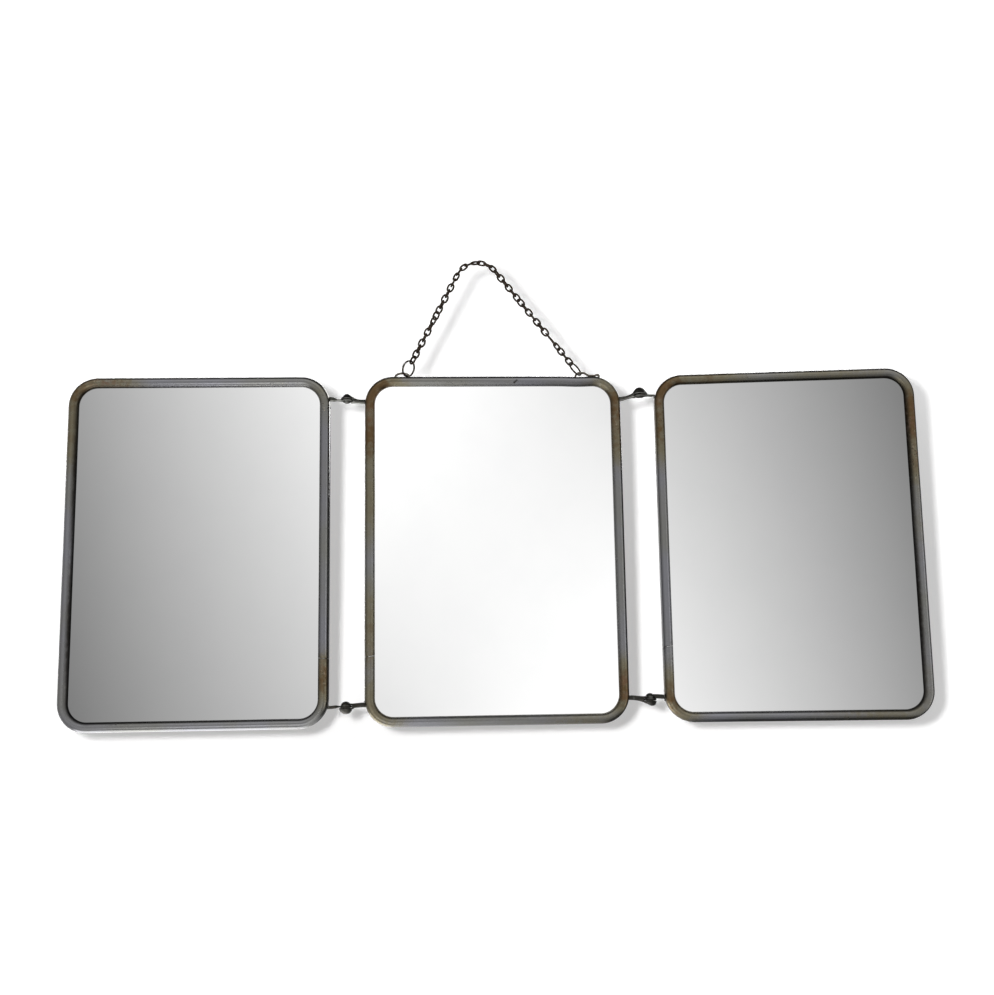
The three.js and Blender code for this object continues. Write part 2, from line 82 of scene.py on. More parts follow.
# Hinges
PANEL_GAP = 27
PIVOT_FROM_CENTRE = {"left": 14, "right": 16}
HINGE_FROM_EDGE = 17.2
FITTINGS_DEPTH = 5.5
ARM_HEIGHT = 3.6
ARM_THICKNESS = 1.8
ARM_DROP = 1.6
TENON_HEIGHT = 2.4
TENON_THICKNESS = 1.4
EYE_RADIUS = 4.9
EYE_THICKNESS = 1.4
CUP_HEIGHT = 3.9
CUP_WALL = 1.3
WING_FOLD = {"left": -0.6, "right": 6.9}

# Staples, in from the panel's sides
STAPLE_WIRE = 1.4
STAPLE_STOUTNESS = 0.3
STAPLE_HEIGHT = 3.9
LEFT_STAPLE = {"outer": 23.4, "inner": 34.7}
RIGHT_STAPLE = {"outer": 16.1, "crest": 18, "rise": 19.2, "foot": 24.4, "shoulder": 27.6, "inner": 34.6}
HUMP_HEIGHT = 2.3

# Chain
RING_RADIUS = 6.85
RING_WIRE = 1.3
RING_FROM_LEG = {"left": 3.6, "right": 3.8}
RING_TURN = {"left": 53, "right": 56}
LINK_LENGTH = 7
LINK_WIDTH = 5.1
LINK_WIRE = 1
LINK_STOUTNESS = 0.5  # how much thicker a link's worn wire looks than it was drawn
LINK_FULLNESS = 0.35
DRAPED_FULLNESS = -0.05
RING_STOUTNESS = 0.1
LINK_BITE = 0.24
PEG_RADIUS = 15.4

SIDES = {"left": -1, "right": 1}

rim_low, rim_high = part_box("rim_centre")
PANEL_WIDTH = (rim_high.x - rim_low.x) / MM
PANEL_HEIGHT = (rim_high.z - rim_low.z) / MM
PANEL_DEPTH = (rim_high.y - rim_low.y) / MM
GLASS_DEPTH = (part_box("mirror_centre")[0].y - rim_low.y) / MM
RIM_SIDE = PANEL_WIDTH / 2
RIM_TOP = PANEL_HEIGHT / 2
HINGE_HEIGHT = RIM_TOP - HINGE_FROM_EDGE
PEG_PLACE = -(rim_low.x + rim_high.x) / 2 / MM
PEG_HEIGHT = -rim_high.z / MM


def shift(x, y, z):
    return Matrix.Translation((x, y, z))


CENTRE = shift(-PEG_PLACE, -FITTINGS_DEPTH, -(RIM_TOP + PEG_HEIGHT))


def hinge_matrix(side):
    """The place of a pivot line, at the panels' mid height, in millimetres."""
    reach = SIDES[side] * (RIM_SIDE + PIVOT_FROM_CENTRE[side])
    return CENTRE @ shift(reach, FITTINGS_DEPTH, 0)


def wing_matrix(side):
    """The axes of a wing at its pivot line."""
    turn = radians(-SIDES[side] * WING_FOLD[side])
    return hinge_matrix(side) @ Matrix.Rotation(turn, 4, "Z")


def panel_matrix(name):
    """The axes of a panel: its middle, with its front at y = 0."""
    if name == "centre":
        return CENTRE
    reach = SIDES[name] * (PANEL_GAP - PIVOT_FROM_CENTRE[name] + RIM_SIDE)
    return wing_matrix(name) @ shift(reach, -FITTINGS_DEPTH, 0)


BODY = {"left": "left_wing", "centre": "centre_panel", "right": "right_wing"}


# Shaders


class Nodes:
    """A node tree under construction."""

    def __init__(self, tree):
        self.tree = tree

    def add(self, kind, inputs=None, **settings):
        node = self.tree.nodes.new("ShaderNode" + kind)
        for key, value in settings.items():
            setattr(node, key, value)
        for key, value in (inputs or {}).items():
            self.feed(node.inputs[key], value)
        return node

    def feed(self, socket, value):
        if isinstance(value, bpy.types.NodeSocket):
            self.tree.links.new(value, socket)
        elif isinstance(value, tuple) and len(value) == 3 and socket.type == "RGBA":
            socket.default_value = (*value, 1)
        else:
            socket.default_value = value

    def ramp(self, value, low, high, to_low=0.0, to_high=1.0, kind="SMOOTHSTEP"):
        inputs = {"Value": value, "From Min": low, "From Max": high, "To Min": to_low, "To Max": to_high}
        return self.add("MapRange", inputs, interpolation_type=kind).outputs["Result"]

    def math(self, operation, first, second=0.0, clamp=False):
        inputs = {0: first, 1: second}
        return self.add("Math", inputs, operation=operation, use_clamp=clamp).outputs[0]

    def times(self, first, second, clamp=False):
        return self.math("MULTIPLY", first, second, clamp)

    def most(self, first, second):
        return self.math("MAXIMUM", first, second)

    def distance(self, first, second):
        inputs = {0: first, 1: second}
        return self.add("VectorMath", inputs, operation="DISTANCE").outputs["Value"]

    def coordinate(self, kind):
        return self.add("TexCoord").outputs[kind]

    def parts(self, vector):
        return self.add("SeparateXYZ", {0: vector}).outputs


class Shader(Nodes):
    """The material of a piece under construction."""

    def __init__(self, name):
        self.material = bpy.data.materials.new(name)
        self.material.use_nodes = True
        super().__init__(self.material.node_tree)
        self.bsdf = self.tree.nodes["Principled BSDF"]
        self.place = self.coordinate("Object")

    def set(self, **values):
        for key, value in values.items():
            self.feed(self.bsdf.inputs[key.replace("_", " ")], value)

    def noise(self, scale, detail=4, roughness=0.55, place=None, distortion=0):
        inputs = {"Vector": place or self.place, "Scale": scale, "Detail": detail}
        inputs.update({"Roughness": roughness, "Distortion": distortion})
        return self.add("TexNoise", inputs).outputs["Fac"]

    def spots(self, scale):
        inputs = {"Vector": self.place, "Scale": scale, "Randomness": 1}
        return self.add("TexVoronoi", inputs).outputs["Distance"]

    def near(self, place, reach, soft):
        """One at a place on the part, given in millimetres, falling to none beyond a reach."""
        distance = self.distance(self.place, tuple(v * MM for v in place))
        return self.ramp(distance, reach * MM, (reach + soft) * MM, 1.0, 0.0)

    def stretched(self, scale):
        return self.add("Mapping", {"Vector": self.place, "Scale": scale}).outputs["Vector"]

    def attribute(self, name):
        return self.add("Attribute", attribute_name=name).outputs["Fac"]

    def mix(self, share, first, second):
        inputs = {"Factor": share, 6: first, 7: second}
        return self.add("Mix", inputs, data_type="RGBA").outputs[2]

    def bump(self, height, depth, strength=1.0, under=None):
        inputs = {"Height": height, "Distance": depth, "Strength": strength}
        if under is not None:
            inputs["Normal"] = under
        return self.add("Bump", inputs).outputs["Normal"]


# A chip in the top of the centre rim: places across it and below its top
CHIP_PLACES = [(16.6, 5.4), (17.5, 4.6), (18.5, 3.9)]


def nickel_shader():
    """Dull nickel on rolled steel: grey to olive, browned, rusted and pitted in places, with painted
    shade along the glass's edge.
    """
    s = Shader("aged_nickel")
    tarnish = s.attribute("tarnish")
    cloud = s.noise(16, 3)
    grain = s.noise(240, 4, 0.55)
    fine = s.noise(1500, 3, 0.6)
    grey = s.mix(s.ramp(cloud, 0.36, 0.64), (0.131, 0.131, 0.144), (0.122, 0.121, 0.111))
    grey = s.mix(s.ramp(fine, 0.35, 0.75, 0, 0.22), grey, (0.22, 0.22, 0.215))
    uneven = s.times(tarnish, s.ramp(grain, 0.30, 0.66, 0.78, 1.16), clamp=True)
    colour = s.mix(s.ramp(uneven, 0.05, 0.5), grey, (0.118, 0.106, 0.074))
    colour = s.mix(s.ramp(uneven, 0.45, 0.95), colour, (0.078, 0.050, 0.024))
    crust = s.times(s.attribute("rust"), s.ramp(s.noise(330, 5, 0.65), 0.42, 0.60), clamp=True)
    colour = s.mix(crust, colour, (0.072, 0.034, 0.015))
    speck = s.ramp(s.spots(520), 0.34, 0.16)
    placed_pits = s.times(s.attribute("pits"), s.ramp(s.noise(150, 3), 0.47, 0.58), clamp=True)
    stray_pits = s.ramp(s.noise(60, 3), 0.66, 0.72, 0, 0.8)
    pits = s.times(speck, s.most(placed_pits, stray_pits))
    glint = s.times(placed_pits, s.ramp(s.noise(620, 4, 0.7), 0.58, 0.66), clamp=True)
    colour = s.mix(s.times(glint, 0.6), colour, (0.40, 0.33, 0.25))
    # Painted shade: a near-black band along the glass's edge, where the rim's inner side lies in shade.
    glass_edge_shade_mask = s.times(s.attribute("grime"), s.ramp(grain, 0.28, 0.55, 0.75, 1.0), clamp=True)
    # Darkens the real pits, seam and chip, together with the painted shade by the glass.
    stains_and_edge_shade = s.most(pits, s.most(glass_edge_shade_mask, s.attribute("seam")))
    for x, up in CHIP_PLACES:
        place = CENTRE @ Vector((x, 0.6, RIM_TOP - up))
        stains_and_edge_shade = s.most(stains_and_edge_shade, s.near(place, 0.5, 0.7))
    colour = s.mix(s.times(stains_and_edge_shade, 0.9), colour, (0.016, 0.014, 0.011))
    dulled = s.most(s.times(uneven, 0.35), s.most(crust, stains_and_edge_shade))
    s.set(Base_Color=colour)
    s.set(Metallic=s.ramp(crust, 0, 1, 1, 0.5))
    s.set(Roughness=s.math("ADD", s.ramp(grain, 0.3, 0.7, 0.19, 0.27), s.times(dulled, 0.3)))
    rough = s.bump(s.times(grain, s.ramp(uneven, 0, 1, 0.15, 0.8)), 0.00005, 0.45)
    s.set(Normal=s.bump(s.times(pits, -1), 0.00012, 0.9, rough))
    return s.material


def mirror_shader():
    """Silvered plate glass, a little uneven and hazed where it is old."""
    s = Shader("silvered_glass")
    haze = s.noise(30, 5, 0.6)
    tint = s.mix(s.ramp(haze, 0.35, 0.75), (0.965, 0.966, 0.964), (0.950, 0.952, 0.952))
    s.set(Base_Color=tint)
    s.bsdf.inputs["Metallic"].default_value = 1
    s.set(Roughness=s.ramp(s.noise(160, 3), 0.66, 0.85, 0.0, 0.03))
    return s.material


def card_shader():
    """Grey paperboard with pressed fibres."""
    s = Shader("grey_card")
    fibre = s.noise(900, 6, 0.7, s.stretched((1, 1, 0.35)))
    s.set(Base_Color=s.mix(s.ramp(fibre, 0.3, 0.7), (0.30, 0.28, 0.25), (0.40, 0.38, 0.34)))
    s.bsdf.inputs["Roughness"].default_value = 0.95
    s.set(Normal=s.bump(fibre, 0.0001, 0.4))
    return s.material


def board_shader():
    """Thin stained board: long grain, darker pores, dust and rubbed places."""
    s = Shader("stained_board")
    bent = s.noise(6, 3, 0.5, s.stretched((1, 1, 0.25)))
    long_grain = s.noise(95, 6, 0.65, s.stretched((1, 1, 0.055)), 0.6)
    pores = s.noise(900, 4, 0.7, s.stretched((1, 1, 0.03)))
    colour = s.mix(s.ramp(long_grain, 0.35, 0.65), (0.17, 0.098, 0.050), (0.30, 0.19, 0.105))
    colour = s.mix(s.ramp(bent, 0.4, 0.7, 0, 0.45), colour, (0.13, 0.080, 0.045))
    colour = s.mix(s.ramp(pores, 0.58, 0.70, 0, 0.7), colour, (0.055, 0.032, 0.018))
    worn = s.ramp(s.noise(22, 5, 0.65), 0.58, 0.78, 0, 0.35)
    colour = s.mix(worn, colour, (0.36, 0.28, 0.20))
    s.set(Base_Color=colour)
    s.set(Roughness=s.ramp(long_grain, 0.3, 0.7, 0.62, 0.82))
    s.set(Normal=s.bump(s.math("ADD", long_grain, s.times(pores, -0.6)), 0.00025, 0.5))
    return s.material


def dark_steel_shader(name, base, worn, rust, gloss):
    """Blackened or bronzed steel, rubbed lighter in places, with traces of rust; on hinges the faces
    that look down are painted lighter, as painted light from below.
    """
    s = Shader(name)
    cloud = s.noise(220, 4, 0.6)
    fine = s.noise(1400, 4, 0.65)
    # Painted light from below on the downward faces, together with random rubbed patches.
    rubbed_and_lit_below = s.most(s.attribute("wear"), s.ramp(cloud, 0.5, 0.8, 0, 0.6))
    colour = s.mix(rubbed_and_lit_below, base, worn)
    trace = s.times(s.ramp(s.noise(330, 5, 0.7), 0.56, 0.68), s.ramp(fine, 0.35, 0.6))
    colour = s.mix(s.times(trace, 0.6), colour, rust)
    s.set(Base_Color=colour)
    s.set(Metallic=s.ramp(trace, 0, 1, 0.95, 0.4))
    s.set(Roughness=s.math("ADD", s.ramp(fine, 0.3, 0.7, gloss, gloss + 0.14), s.times(trace, 0.25)))
    s.set(Normal=s.bump(s.math("ADD", cloud, s.times(fine, 0.3)), 0.00007, 0.6))
    return s.material


# Meshes


def smooth_step(share):
    share = min(1.0, max(0.0, share))
    return share * share * (3 - 2 * share)


def bulged(value, power):
    """A cosine or sine drawn towards a squarer or rounder curve."""
    return copysign(abs(value) ** power, value)


def turns(sides):
    """The angles of points set evenly round a circle."""
    return [2 * pi * i / sides for i in range(sides)]


def linked(name, data):
    """An object of the scene that holds this data."""
    thing = bpy.data.objects.new(name, data)
    bpy.context.scene.collection.objects.link(thing)
    return thing


def arc(centre_x, centre_y, radius_x, radius_y, start, end, steps):
    """Points of an elliptic arc, both ends included."""
    angles = np.linspace(start, end, steps + 1)
    return [(centre_x + radius_x * cos(a), centre_y + radius_y * sin(a)) for a in angles]


def mesh_object(name, points, faces):
    """A mesh object from points in millimetres of the frame, its faces turned outwards."""
    mesh = bpy.data.meshes.new(name)
    mesh.from_pydata([Vector(p) * MM for p in points], [], faces)
    build = bmesh.new()
    build.from_mesh(mesh)
    bmesh.ops.remove_doubles(build, verts=build.verts, dist=1e-7)
    bmesh.ops.recalc_face_normals(build, faces=build.faces)
    if build.calc_volume(signed=True) < 0:
        bmesh.ops.reverse_faces(build, faces=build.faces)
    build.to_mesh(mesh)
    build.free()
    return linked(name, mesh)


def skin(rings, loop=False):
    """Points and faces of a body through rings of equal length, capped unless it loops."""
    count = len(rings[0])
    points = [p for ring in rings for p in ring]
    faces = []
    spans = len(rings) if loop else len(rings) - 1
    for i in range(spans):
        near, far = i * count, ((i + 1) % len(rings)) * count
        for j in range(count):
            k = (j + 1) % count
            faces.append((near + j, near + k, far + k, far + j))
    if not loop:
        last = (len(rings) - 1) * count
        faces.append(tuple(reversed(range(count))))
        faces.append(tuple(range(last, last + count)))
    return points, faces


def joined(bodies):
    """One list of points and faces from several."""
    points, faces = [], []
    for body_points, body_faces in bodies:
        faces += [tuple(i + len(points) for i in face) for face in body_faces]
        points += list(body_points)
    return points, faces


def placed(body, matrix):
    points, faces = body
    return [matrix @ Vector(p) for p in points], faces


def lathe(profile, sides):
    """A turned body about Z, from a profile of radius and height that ends on the axis."""
    points, faces = [], []
    rows = []
    for radius, height in profile:
        if radius < 1e-6:
            rows.append([len(points)])
            points.append((0, 0, height))
            continue
        rows.append(list(range(len(points), len(points) + sides)))
        points += [(radius * cos(a), radius * sin(a), height) for a in turns(sides)]
    for low, high in zip(rows, rows[1:]):
        for i in range(sides):
            j = (i + 1) % sides
            corners = [row[k % len(row)] for row, k in ((low, i), (low, j), (high, j), (high, i))]
            face = tuple(dict.fromkeys(corners))
            if len(face) > 2:
                faces.append(face)
    return points, faces


def wire(points, across, radius, sides=14, loop=False):
    """A round wire along points in a plane square to "across"."""
    across = Vector(across)
    rings = []
    for i, point in enumerate(points):
        before = points[i - 1] if loop or i else point
        after = points[(i + 1) % len(points)] if loop or i + 1 < len(points) else point
        side = (after - before).normalized().cross(across).normalized()
        rings.append([point + radius * (cos(a) * side + sin(a) * across) for a in turns(sides)])
    return skin(rings, loop)


def smooth(piece, sharp_degrees=40):
    """Shades a piece smooth but for edges that bend more than an angle."""
    build = bmesh.new()
    build.from_mesh(piece.data)
    for face in build.faces:
        face.smooth = True
    limit = radians(sharp_degrees)
    for edge in build.edges:
        edge.smooth = not (len(edge.link_faces) == 2 and edge.calc_face_angle(0) > limit)
    build.to_mesh(piece.data)
    build.free()


def applied(piece):
    """Bakes a piece's modifiers into its mesh."""
    shape = piece.evaluated_get(bpy.context.evaluated_depsgraph_get())
    piece.data = bpy.data.meshes.new_from_object(shape)
    piece.modifiers.clear()


def cut(piece, bodies):
    """Cuts closed bodies, in millimetres of the frame, out of a piece."""
    cutter = mesh_object(piece.name + "_cutter", *joined(bodies))
    change = piece.modifiers.new("cut", "BOOLEAN")
    change.operation = "DIFFERENCE"
    change.solver = "EXACT"
    change.object = cutter
    applied(piece)
    bpy.data.objects.remove(cutter)


def remeshed(piece, voxel, rounds):
    """Melts overlapping bodies into one skin and rounds it, as on a forged piece."""
    change = piece.modifiers.new("melt", "REMESH")
    change.mode = "VOXEL"
    change.voxel_size = voxel * MM
    soften = piece.modifiers.new("soften", "SMOOTH")
    soften.factor = 0.5
    soften.iterations = rounds
    applied(piece)


def coat(piece, slot):
    piece.data.materials.clear()
    piece.data.materials.append(FINISHES[slot])


def finished(piece, body, slot, nodes):
    """Gives a piece its finish and hangs it on its body in place of CAD nodes."""
    coat(piece, slot)
    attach(piece, body)
    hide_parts(*nodes)


def store(piece, label, values):
    """Keeps a value for each point of a piece, for its material."""
    layer = piece.data.attributes.new(label, "FLOAT", "POINT")
    layer.data.foreach_set("value", values.astype(np.float32))


def dressed(node, slot):
    """Gives a CAD node that stays its finish."""
    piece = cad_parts[node]
    coat(piece, slot)


FINISHES = {
    "nickel_rim": nickel_shader(),
    "mirror_glass": mirror_shader(),
    "packing_card": card_shader(),
    "backboard": board_shader(),
    "hinge_steel": dark_steel_shader(
        "blackened_steel", (0.022, 0.021, 0.018), (0.190, 0.190, 0.174), (0.040, 0.020, 0.012), 0.32
    ),
    "staple_wire": dark_steel_shader(
        "staple_wire", (0.110, 0.098, 0.080), (0.26, 0.24, 0.20), (0.080, 0.046, 0.026), 0.36
    ),
    "chain_steel": dark_steel_shader(
        "bronzed_steel", (0.028, 0.020, 0.014), (0.075, 0.058, 0.044), (0.050, 0.026, 0.014), 0.36
    ),
}


# Rims


WALL_MARKS = (8.2, 6)  # depths at which the rim's plain side wall has an edge


def rim_section():
    """Inset from the panel's outside and depth from its front, round the rim's sheet."""
    inside = BEAD_RADIUS - RIM_SHEET
    half = pi / 2
    return [
        (LIP_WIDTH, PANEL_DEPTH),
        *arc(BACK_BEND, PANEL_DEPTH - BACK_BEND, BACK_BEND, BACK_BEND, half, 2 * half, 5),
        *((0, depth) for depth in WALL_MARKS),
        *arc(BEAD_RADIUS, BEAD_RADIUS, BEAD_RADIUS, BEAD_RADIUS, 2 * half, 4 * half, 26),
        *arc(BEAD_RADIUS, BEAD_RADIUS, inside, inside, 4 * half, 2 * half, 12),
        (RIM_SHEET, PANEL_DEPTH - RIM_SHEET),
        (LIP_WIDTH, PANEL_DEPTH - RIM_SHEET),
    ]


def rim_stations(side, seam_z):
    """Places round the panel's outside from one side of the seam to the other."""
    half_x = RIM_SIDE - CORNER_RADIUS
    half_z = RIM_TOP - CORNER_RADIUS
    corners = [(side, 1), (-side, 1), (-side, -1), (side, -1)]
    steps = 20
    stride = 6
    along = []
    for i, (sign_x, sign_z) in enumerate(corners):
        for step in range(steps + 1):
            angle = pi / 2 * step / steps
            lead, rise = cos(angle), sin(angle)
            out = (sign_x * lead, sign_z * rise) if i % 2 == 0 else (sign_x * rise, sign_z * lead)
            x, z = sign_x * half_x + CORNER_RADIUS * out[0], sign_z * half_z + CORNER_RADIUS * out[1]
            along.append((x, z, out))
    seam_x = side * RIM_SIDE
    edge, stain = SEAM_GAP / 2, SEAM_GAP / 2 + SEAM_STAIN
    first, after, before, last = ((seam_x, seam_z + z, (side, 0)) for z in (edge, stain, -stain, -edge))
    stations = []
    whole = [first, after, *along, before, last]
    for near, far in zip(whole, whole[1:]):
        length = hypot(far[0] - near[0], far[1] - near[1])
        pieces = max(1, round(length / stride)) if length > stride else 1
        for k in range(pieces):
            share = k / pieces
            x, z = (a + share * (b - a) for a, b in zip(near[:2], far[:2]))
            stations.append((x, z, near[2]))
    stations.append(last)
    return stations


def drawn_in(place, half):
    """How far an outline has drawn in at a place along a side whose ends are rounded."""
    past = max(0.0, abs(place) - (half - CORNER_RADIUS))
    return CORNER_RADIUS - sqrt(CORNER_RADIUS**2 - past**2)


def side_inset(height):
    return drawn_in(height, RIM_TOP)


def top_drop(x):
    return drawn_in(x, RIM_SIDE)


def box(centre, size):
    """A box's points and faces."""
    signs = [(x, y, z) for x in (-1, 1) for y in (-1, 1) for z in (-1, 1)]
    points = [tuple(c + s * w / 2 for c, s, w in zip(centre, sign, size)) for sign in signs]
    faces = [(0, 1, 3, 2), (4, 6, 7, 5), (0, 4, 5, 1), (2, 3, 7, 6), (0, 2, 6, 4), (1, 5, 7, 3)]
    return points, faces


def tenon_slot(side, z):
    size = (4 * RIM_SHEET, TENON_THICKNESS + 2 * SEAT_GAP, TENON_HEIGHT + 2 * SEAT_GAP)
    return box((side * (RIM_SIDE - side_inset(z)), FITTINGS_DEPTH, z), size)


def leg_hole(x):
    radius = STAPLE_WIRE / 2 + SEAT_GAP
    reach = 2 * RIM_SHEET
    ends = [(0, -reach), (radius, -reach), (radius, reach), (0, reach)]
    return placed(lathe(ends, 16), shift(x, FITTINGS_DEPTH, RIM_TOP - top_drop(x)))


# Marks on each rim: x, z and reach on the panel, and how strong
TARNISH = {
    "left": [
        (-92, 122, 30, 0.75), (-99, 90, 34, 0.6), (-60, 132, 22, 0.45), (98, -98, 22, 0.8),
        (92, 122, 16, 0.3),
    ],
    "centre": [
        (-94, 120, 30, 1.0), (-99, 88, 34, 0.9), (-99, 40, 46, 0.55), (-99, -60, 40, 0.6),
        (-92, -118, 30, 0.55), (96, 110, 30, 0.85), (98, 82, 24, 0.7), (98, -108, 24, 0.95),
        (70, -132, 60, 0.3),
    ],
    "right": [
        (-92, 122, 32, 0.9), (-99, 94, 34, 0.8), (-60, 132, 40, 0.6), (40, 132, 70, 0.35),
        (99, 96, 34, 1.0), (99, 60, 24, 0.6), (99, 10, 60, 0.2), (-93, -116, 26, 0.8),
        (60, -132, 60, 0.35),
    ],
}
RUST = {
    "left": [(-70, 131, 18, 0.7), (98, -90, 12, 0.4)],
    "centre": [(-97, 104, 22, 0.5), (98, -106, 14, 0.7), (98, 100, 16, 0.45), (-97, -82, 10, 0.35)],
    "right": [(98, 92, 20, 0.9), (98, 62, 12, 0.6), (-94, 116, 16, 0.5)],
}
PITS = {
    "left": [(-72, 131, 26, 0.8), (99, 112, 12, 1.0), (98, -92, 20, 0.8), (60, 131, 16, 0.5)],
    "centre": [(-30, 131, 18, 0.5), (14, 131, 3, 1.0), (99, 98, 14, 0.8), (-97, -70, 18, 0.4)],
    "right": [(98, 60, 26, 1.0), (-20, 131, 34, 0.5), (-97, 104, 18, 0.6), (-98, -82, 6, 0.8)],
}
# Painted shade: where a dark band is painted along each rim's edge by the glass.
GLASS_EDGE_SHADE = {
    "left": [(-98, 60, 90, 1.0), (-98, -60, 90, 1.0), (0, -132, 120, 0.1), (98, 0, 130, 0.1)],
    "centre": [(0, -132, 100, 0.5), (60, 132, 50, 0.2), (98, -100, 40, 0.5)],
    "right": [(98, 60, 90, 1.0), (98, -50, 110, 1.0), (40, 132, 70, 0.15), (-98, 100, 40, 0.3)],
}


def spread(spots, x, z):
    """How much of a mark list reaches a place, fading outwards from each spot."""
    total = np.zeros(len(x))
    for spot_x, spot_z, reach, amount in spots:
        distance = np.hypot(x - spot_x, z - spot_z) / reach
        total = np.maximum(total, amount * np.exp(-(distance**2) * 1.4))
    return total


def add_marks(piece, name):
    """Stores where a rim is browned and rusted, and where it is painted darker close to the glass as
    painted shade.
    """
    matrix = np.array(panel_matrix(name).inverted())
    place = np.array([v.co for v in piece.data.vertices]) / MM
    local = place @ matrix[:3, :3].T + matrix[:3, 3]
    x, depth, z = local.T
    halves = ((x, RIM_SIDE), (z, RIM_TOP))
    corner = [np.maximum(np.abs(place) - (half - CORNER_RADIUS), 0) for place, half in halves]
    round_inset = CORNER_RADIUS - np.hypot(*corner)
    flat_inset = np.minimum(RIM_SIDE - np.abs(x), RIM_TOP - np.abs(z))
    inset = np.where((corner[0] > 0) & (corner[1] > 0), round_inset, flat_inset)
    seam_side = 1 if name == "left" else -1
    from_seam = np.abs(z - (SEAM_HEIGHT[name] - RIM_TOP + SEAM_SLANT * (inset - BEAD_RADIUS)))
    marks = {
        "tarnish": spread(TARNISH[name], x, z),
        "rust": spread(RUST[name], x, z),
        "pits": spread(PITS[name], x, z),
        # Painted shade, laid only on the rim's inner part next to the glass.
        "grime": spread(GLASS_EDGE_SHADE[name], x, z) * np.clip((inset - 4.4) / 2.2, 0, 1),
        "seam": (x * seam_side > 0) * np.clip(1 - from_seam / SEAM_STAIN, 0, 1),
    }
    for label, values in marks.items():
        store(piece, label, values)


def make_rim(name, seam_side, cutters):
    """A rolled rim, a little wavy as one bent by hand is, and rubbed where an end ring swings."""
    section = rim_section()
    rings = []
    for x, z, out in rim_stations(seam_side, SEAM_HEIGHT[name] - RIM_TOP):
        by_side = abs(x - seam_side * RIM_SIDE) < 0.01
        at_seam = by_side and abs(z - SEAM_HEIGHT[name] + RIM_TOP) < SEAM_GAP
        slant = SEAM_SLANT if at_seam else 0
        spot = Vector((x / RIM_WAVE_LENGTH, z / RIM_WAVE_LENGTH, seam_side * 3.1 + len(name)))
        wave = RIM_WAVE * (1 + noise.noise(spot))
        if name == "centre" and z > 0:
            rubbed_at = staple_place("right", RIGHT_STAPLE["inner"]) + RING_FROM_STAPLE
            wave += RING_RUB * exp(-(((x - rubbed_at) / RING_RUB_REACH) ** 2))
        ring = []
        for inset, depth in section:
            drawn = inset + wave
            worn = depth + FRONT_WEAR * (1 - depth / PANEL_DEPTH)
            ring.append((x - out[0] * drawn, worn, z - out[1] * drawn + slant * (inset - BEAD_RADIUS)))
        rings.append(ring)
    piece = mesh_object("rim_skin_" + name, *placed(skin(rings), panel_matrix(name)))
    cut(piece, [placed(body, panel_matrix(name)) for body in cutters])
    add_marks(piece, name)
    smooth(piece)
    finished(piece, BODY[name], "nickel_rim", ["rim_" + name])


def staple_place(side, inset):
    return SIDES[side] * (RIM_SIDE - inset)


def make_rims():
    legs = [staple_place("left", LEFT_STAPLE[k]) for k in ("outer", "inner")]
    legs += [staple_place("right", RIGHT_STAPLE[k]) for k in ("outer", "inner")]
    for name, arm_sides, seam_side in (("left", [1], 1), ("centre", [-1, 1], -1), ("right", [-1], -1)):
        level = HINGE_HEIGHT - (ARM_DROP if name == "centre" else 0)
        cutters = [tenon_slot(side, up * level) for side in arm_sides for up in (1, -1)]
        if name == "centre":
            cutters += [leg_hole(x) for x in legs]
        make_rim(name, seam_side, cutters)


# Hinges


def arm_section(half_thickness, half_height, sides=28):
    """A strip's section with rounded corners."""
    squareness = 0.6
    return [
        (half_thickness * bulged(cos(a), squareness), half_height * bulged(sin(a), squareness))
        for a in turns(sides)
    ]


def eased(stations, steps=8):
    """Stations along an arm, filled in by a smooth curve through them."""
    rows = [np.array(s, float) for s in stations]
    rows = [rows[0], *rows, rows[-1]]
    filled = []
    for a, b, c, d in zip(rows, rows[1:], rows[2:], rows[3:]):
        for k in range(steps):
            t = k / steps
            bend, sway = 2 * a - 5 * b + 4 * c - d, 3 * b - a - 3 * c + d
            filled.append(0.5 * (2 * b + (c - a) * t + bend * t**2 + sway * t**3))
    filled.append(rows[-1])
    return filled


def strip(stations):
    """A strip through stations of place, half thickness, lower and upper edge."""
    rings = []
    for x, thick, low, high in eased(stations):
        section = arm_section(thick, (high - low) / 2)
        rings.append([(x, across, (low + high) / 2 + up) for across, up in section])
    return skin(rings)


EYE_TOP = EYE_THICKNESS / 2
CUP_BASE = EYE_TOP + SEAT_GAP
CUP_TOP = CUP_BASE + CUP_HEIGHT
ARM_FOOT = 4.8  # how near the pivot an arm keeps its full height
DISH_LIP = 0.4
FOOT_FLARE = 1.3  # how much each side of an arm widens at its foot
BRIDGE_HALF = 2.2  # half the width over the dish, and under the eye
TONGUE_HALF = 1.9


def shoulder_at(reach, drop):
    """How far from the pivot an arm meets the rim's wall."""
    return reach + side_inset(HINGE_HEIGHT - drop)


def tenon(reach, drop, raised):
    """The arm's end that passes through the rim's wall."""
    shoulder = shoulder_at(reach, drop)
    middle = -drop - raised
    low, high = middle - TENON_HEIGHT / 2, middle + TENON_HEIGHT / 2
    ends = (shoulder - 0.7, shoulder + RIM_SHEET + SEAT_GAP + 0.8)
    return strip([(x, TENON_THICKNESS / 2, low, high) for x in ends])


def fitted(body, start, end, raised, drop):
    """Slants an arm's end so that it follows the rim's rounded wall."""
    points, faces = body
    level = side_inset(HINGE_HEIGHT - drop)

    def follow(x, z):
        drawn = side_inset(HINGE_HEIGHT + raised + z) - level
        return x + drawn * smooth_step((x - start) / (end - start))

    return [(follow(x, z), y, z) for x, y, z in points], faces


